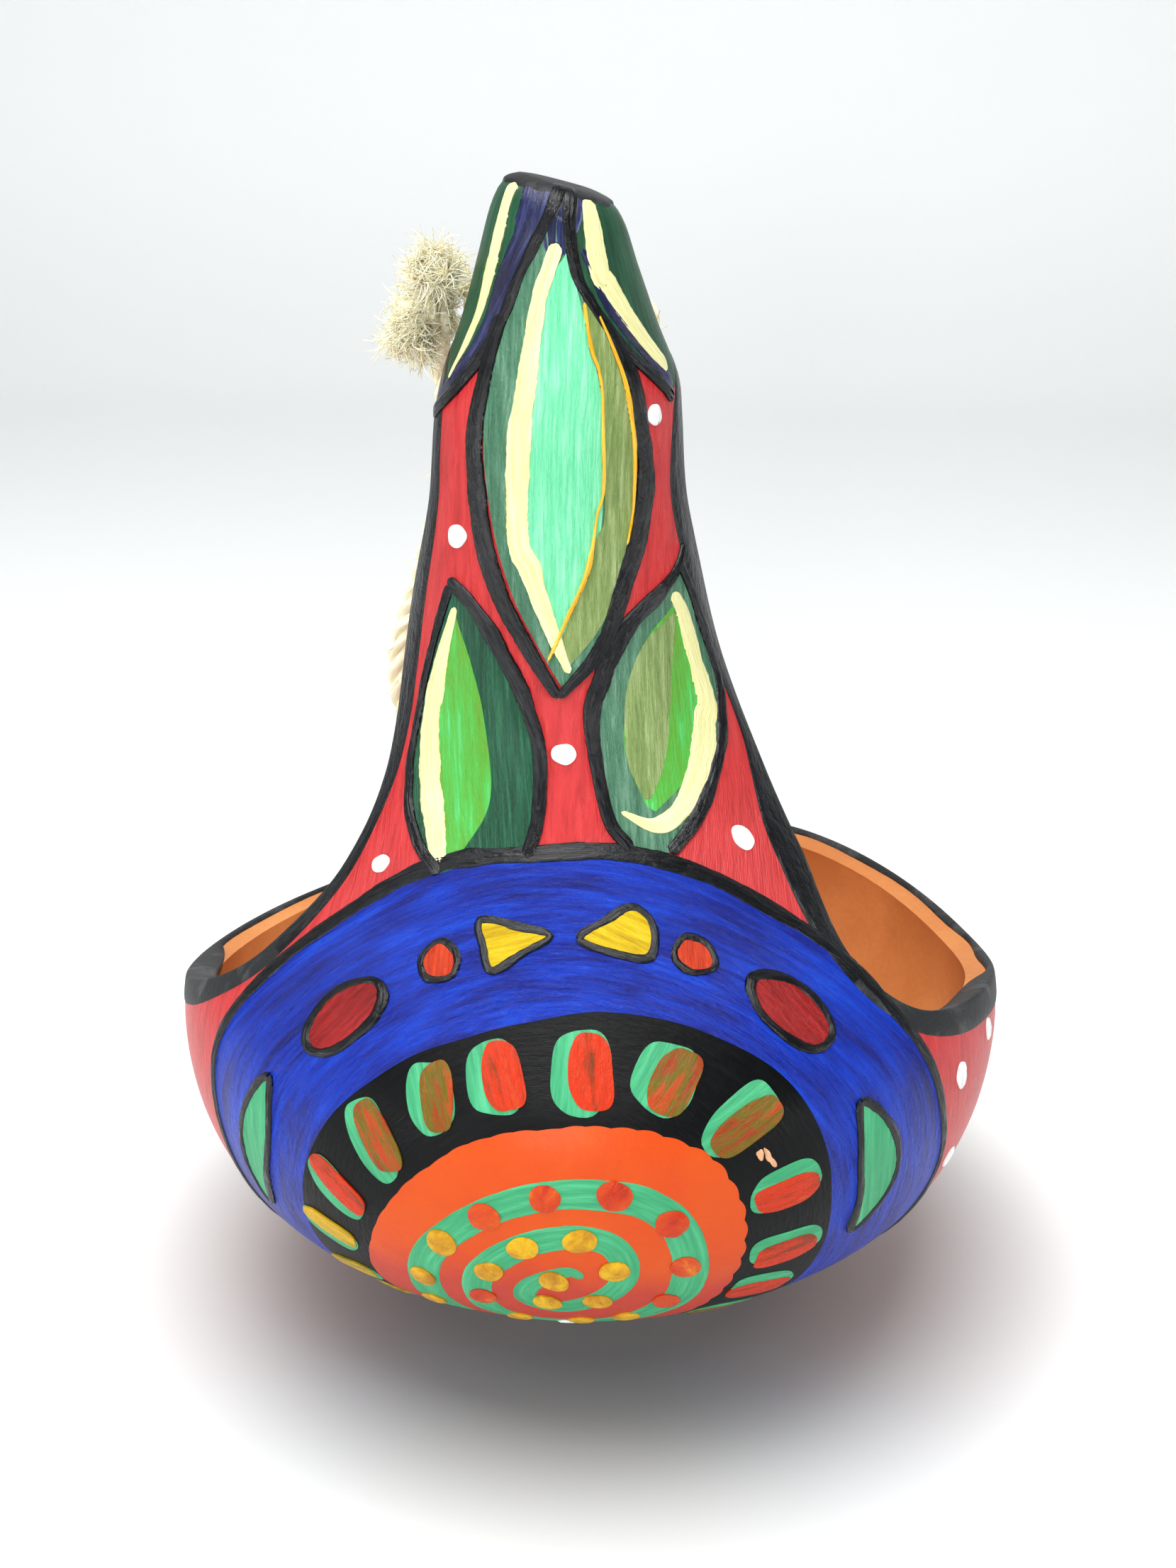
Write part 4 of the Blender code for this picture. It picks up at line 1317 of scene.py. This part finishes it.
def make_tails():
    """The two loose ends: the upper one points at the viewer, the lower one hangs down to the left."""
    upper = [(-0.0228, -0.0030, 0.0022), (-0.0226, -0.0090, 0.0046), (-0.0214, -0.0136, 0.0066)]
    lower = [(-0.0246, -0.0035, -0.0020), (-0.0266, -0.0052, -0.0045), (-0.0276, -0.0060, -0.0074)]
    tails = (("tail_upper", upper, 0.0038, 0.0), ("tail_lower", lower, 0.0050, 0.15))
    pieces = []
    for number, (name, route, end_radius, droop) in enumerate(tails):
        line = spline(route, 30) + np.array(BORE)
        share = np.linspace(0, 1, len(line)) ** 1.2
        radius = ROPE_DIAMETER * 0.5 + (end_radius - ROPE_DIAMETER * 0.5) * share
        tail = strands(name + "_strands", line, spread=radius * 1.7 / ROPE_DIAMETER)
        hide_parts("rope_" + name)
        pieces.append(tail)
        pieces.append(hair_along(name + "_frayed", line, radius, 900, (0.0034, 0.0066), 0.12, "gourd",
                                 SEED + number, 0.26, 0.8, droop, first=4))
    return pieces


# ---------- Camera, light and floor ----------
def make_camera():
    """The photo's view: near, a little above the gourd's tip and looking down at it."""
    data = bpy.data.cameras.new("camera")
    data.lens = 42.3
    data.sensor_width = 36.0
    camera = linked("camera", data)
    camera.location = (0.0259, -0.3345, 0.2121)
    camera.rotation_euler = (math.radians(70.0), 0.0, math.radians(4.5))
    bpy.context.scene.camera = camera


def area_light(name, place, target, size, power):
    """A white rectangular light that faces the target."""
    data = bpy.data.lights.new(name, "AREA")
    data.shape = "RECTANGLE"
    data.size, data.size_y = size
    data.energy = power
    light = linked(name, data)
    light.location = place
    light.rotation_euler = (Vector(target) - Vector(place)).to_track_quat("-Z", "Y").to_euler()


def make_stage():
    """A pale floor that curves up into a backdrop, painted dark close to the gourd as a painted shadow."""
    profile = [(-3.0, 0.0), (0.9, 0.0), (1.1, 0.03), (1.22, 0.12), (1.27, 0.3), (1.3, 2.2)]
    line = spline(profile, 60)
    points = [(x, y, z) for y, z in line for x in (-3.0, 3.0)]
    faces = [(2 * k, 2 * k + 1, 2 * k + 3, 2 * k + 2) for k in range(len(line) - 1)]
    mesh = new_mesh("backdrop", points, faces)
    mesh.shade_smooth()
    floor = linked("backdrop", mesh)
    nodes = Nodes("backdrop")
    place = nodes.place()
    # Painted shadow: the floor's colour is dark grey within a few centimetres of the gourd's foot and pale
    # from about 0.115 m out
    away = nodes.add("ShaderNodeVectorMath", {0: place}, operation="LENGTH").outputs["Value"]
    tone = nodes.ramp(away, [(0.04, (0.26, 0.28, 0.27, 1.0)), (0.115, (0.90, 0.92, 0.915, 1.0))])
    nodes.link(tone, "Base Color")
    nodes.even("Roughness", 0.8)
    nodes.even("Specular IOR Level", 0.2)
    mesh.materials.append(nodes.material)


def light_scene():
    """Soft light from above and the front, with two strips that draw glints on the wet-looking paint."""
    world = bpy.data.worlds.new("studio")
    world.use_nodes = True
    sky = world.node_tree.nodes["Background"]
    sky.inputs["Color"].default_value = (0.96, 0.98, 1.0, 1.0)
    sky.inputs["Strength"].default_value = 0.29
    bpy.context.scene.world = world
    bpy.context.scene.view_settings.view_transform = "Standard"
    area_light("top", (-0.10, -0.28, 1.2), (0, 0, 0.05), (0.9, 0.8), 17)
    area_light("window", (-0.10, -1.25, 0.44), (0, 0, 0.13), (0.12, 0.60), 5.5)
    area_light("left_fill", (-1.1, -0.5, 0.6), (0, 0, 0.12), (0.6, 0.8), 2)
    area_light("strip_left", (-1.05, -0.70, 0.34), (0, 0, 0.14), (0.05, 0.45), 3.5)
    area_light("strip_right", (1.15, -0.35, 0.34), (0, 0, 0.14), (0.05, 0.45), 3.5)


make_camera()
make_rope()
make_shell()
make_rim()
paint_tip()
paint_centre_leaf()
paint_lower_leaves()
paint_bowl()
paint_band()
white_dots()
make_stage()
light_scene()
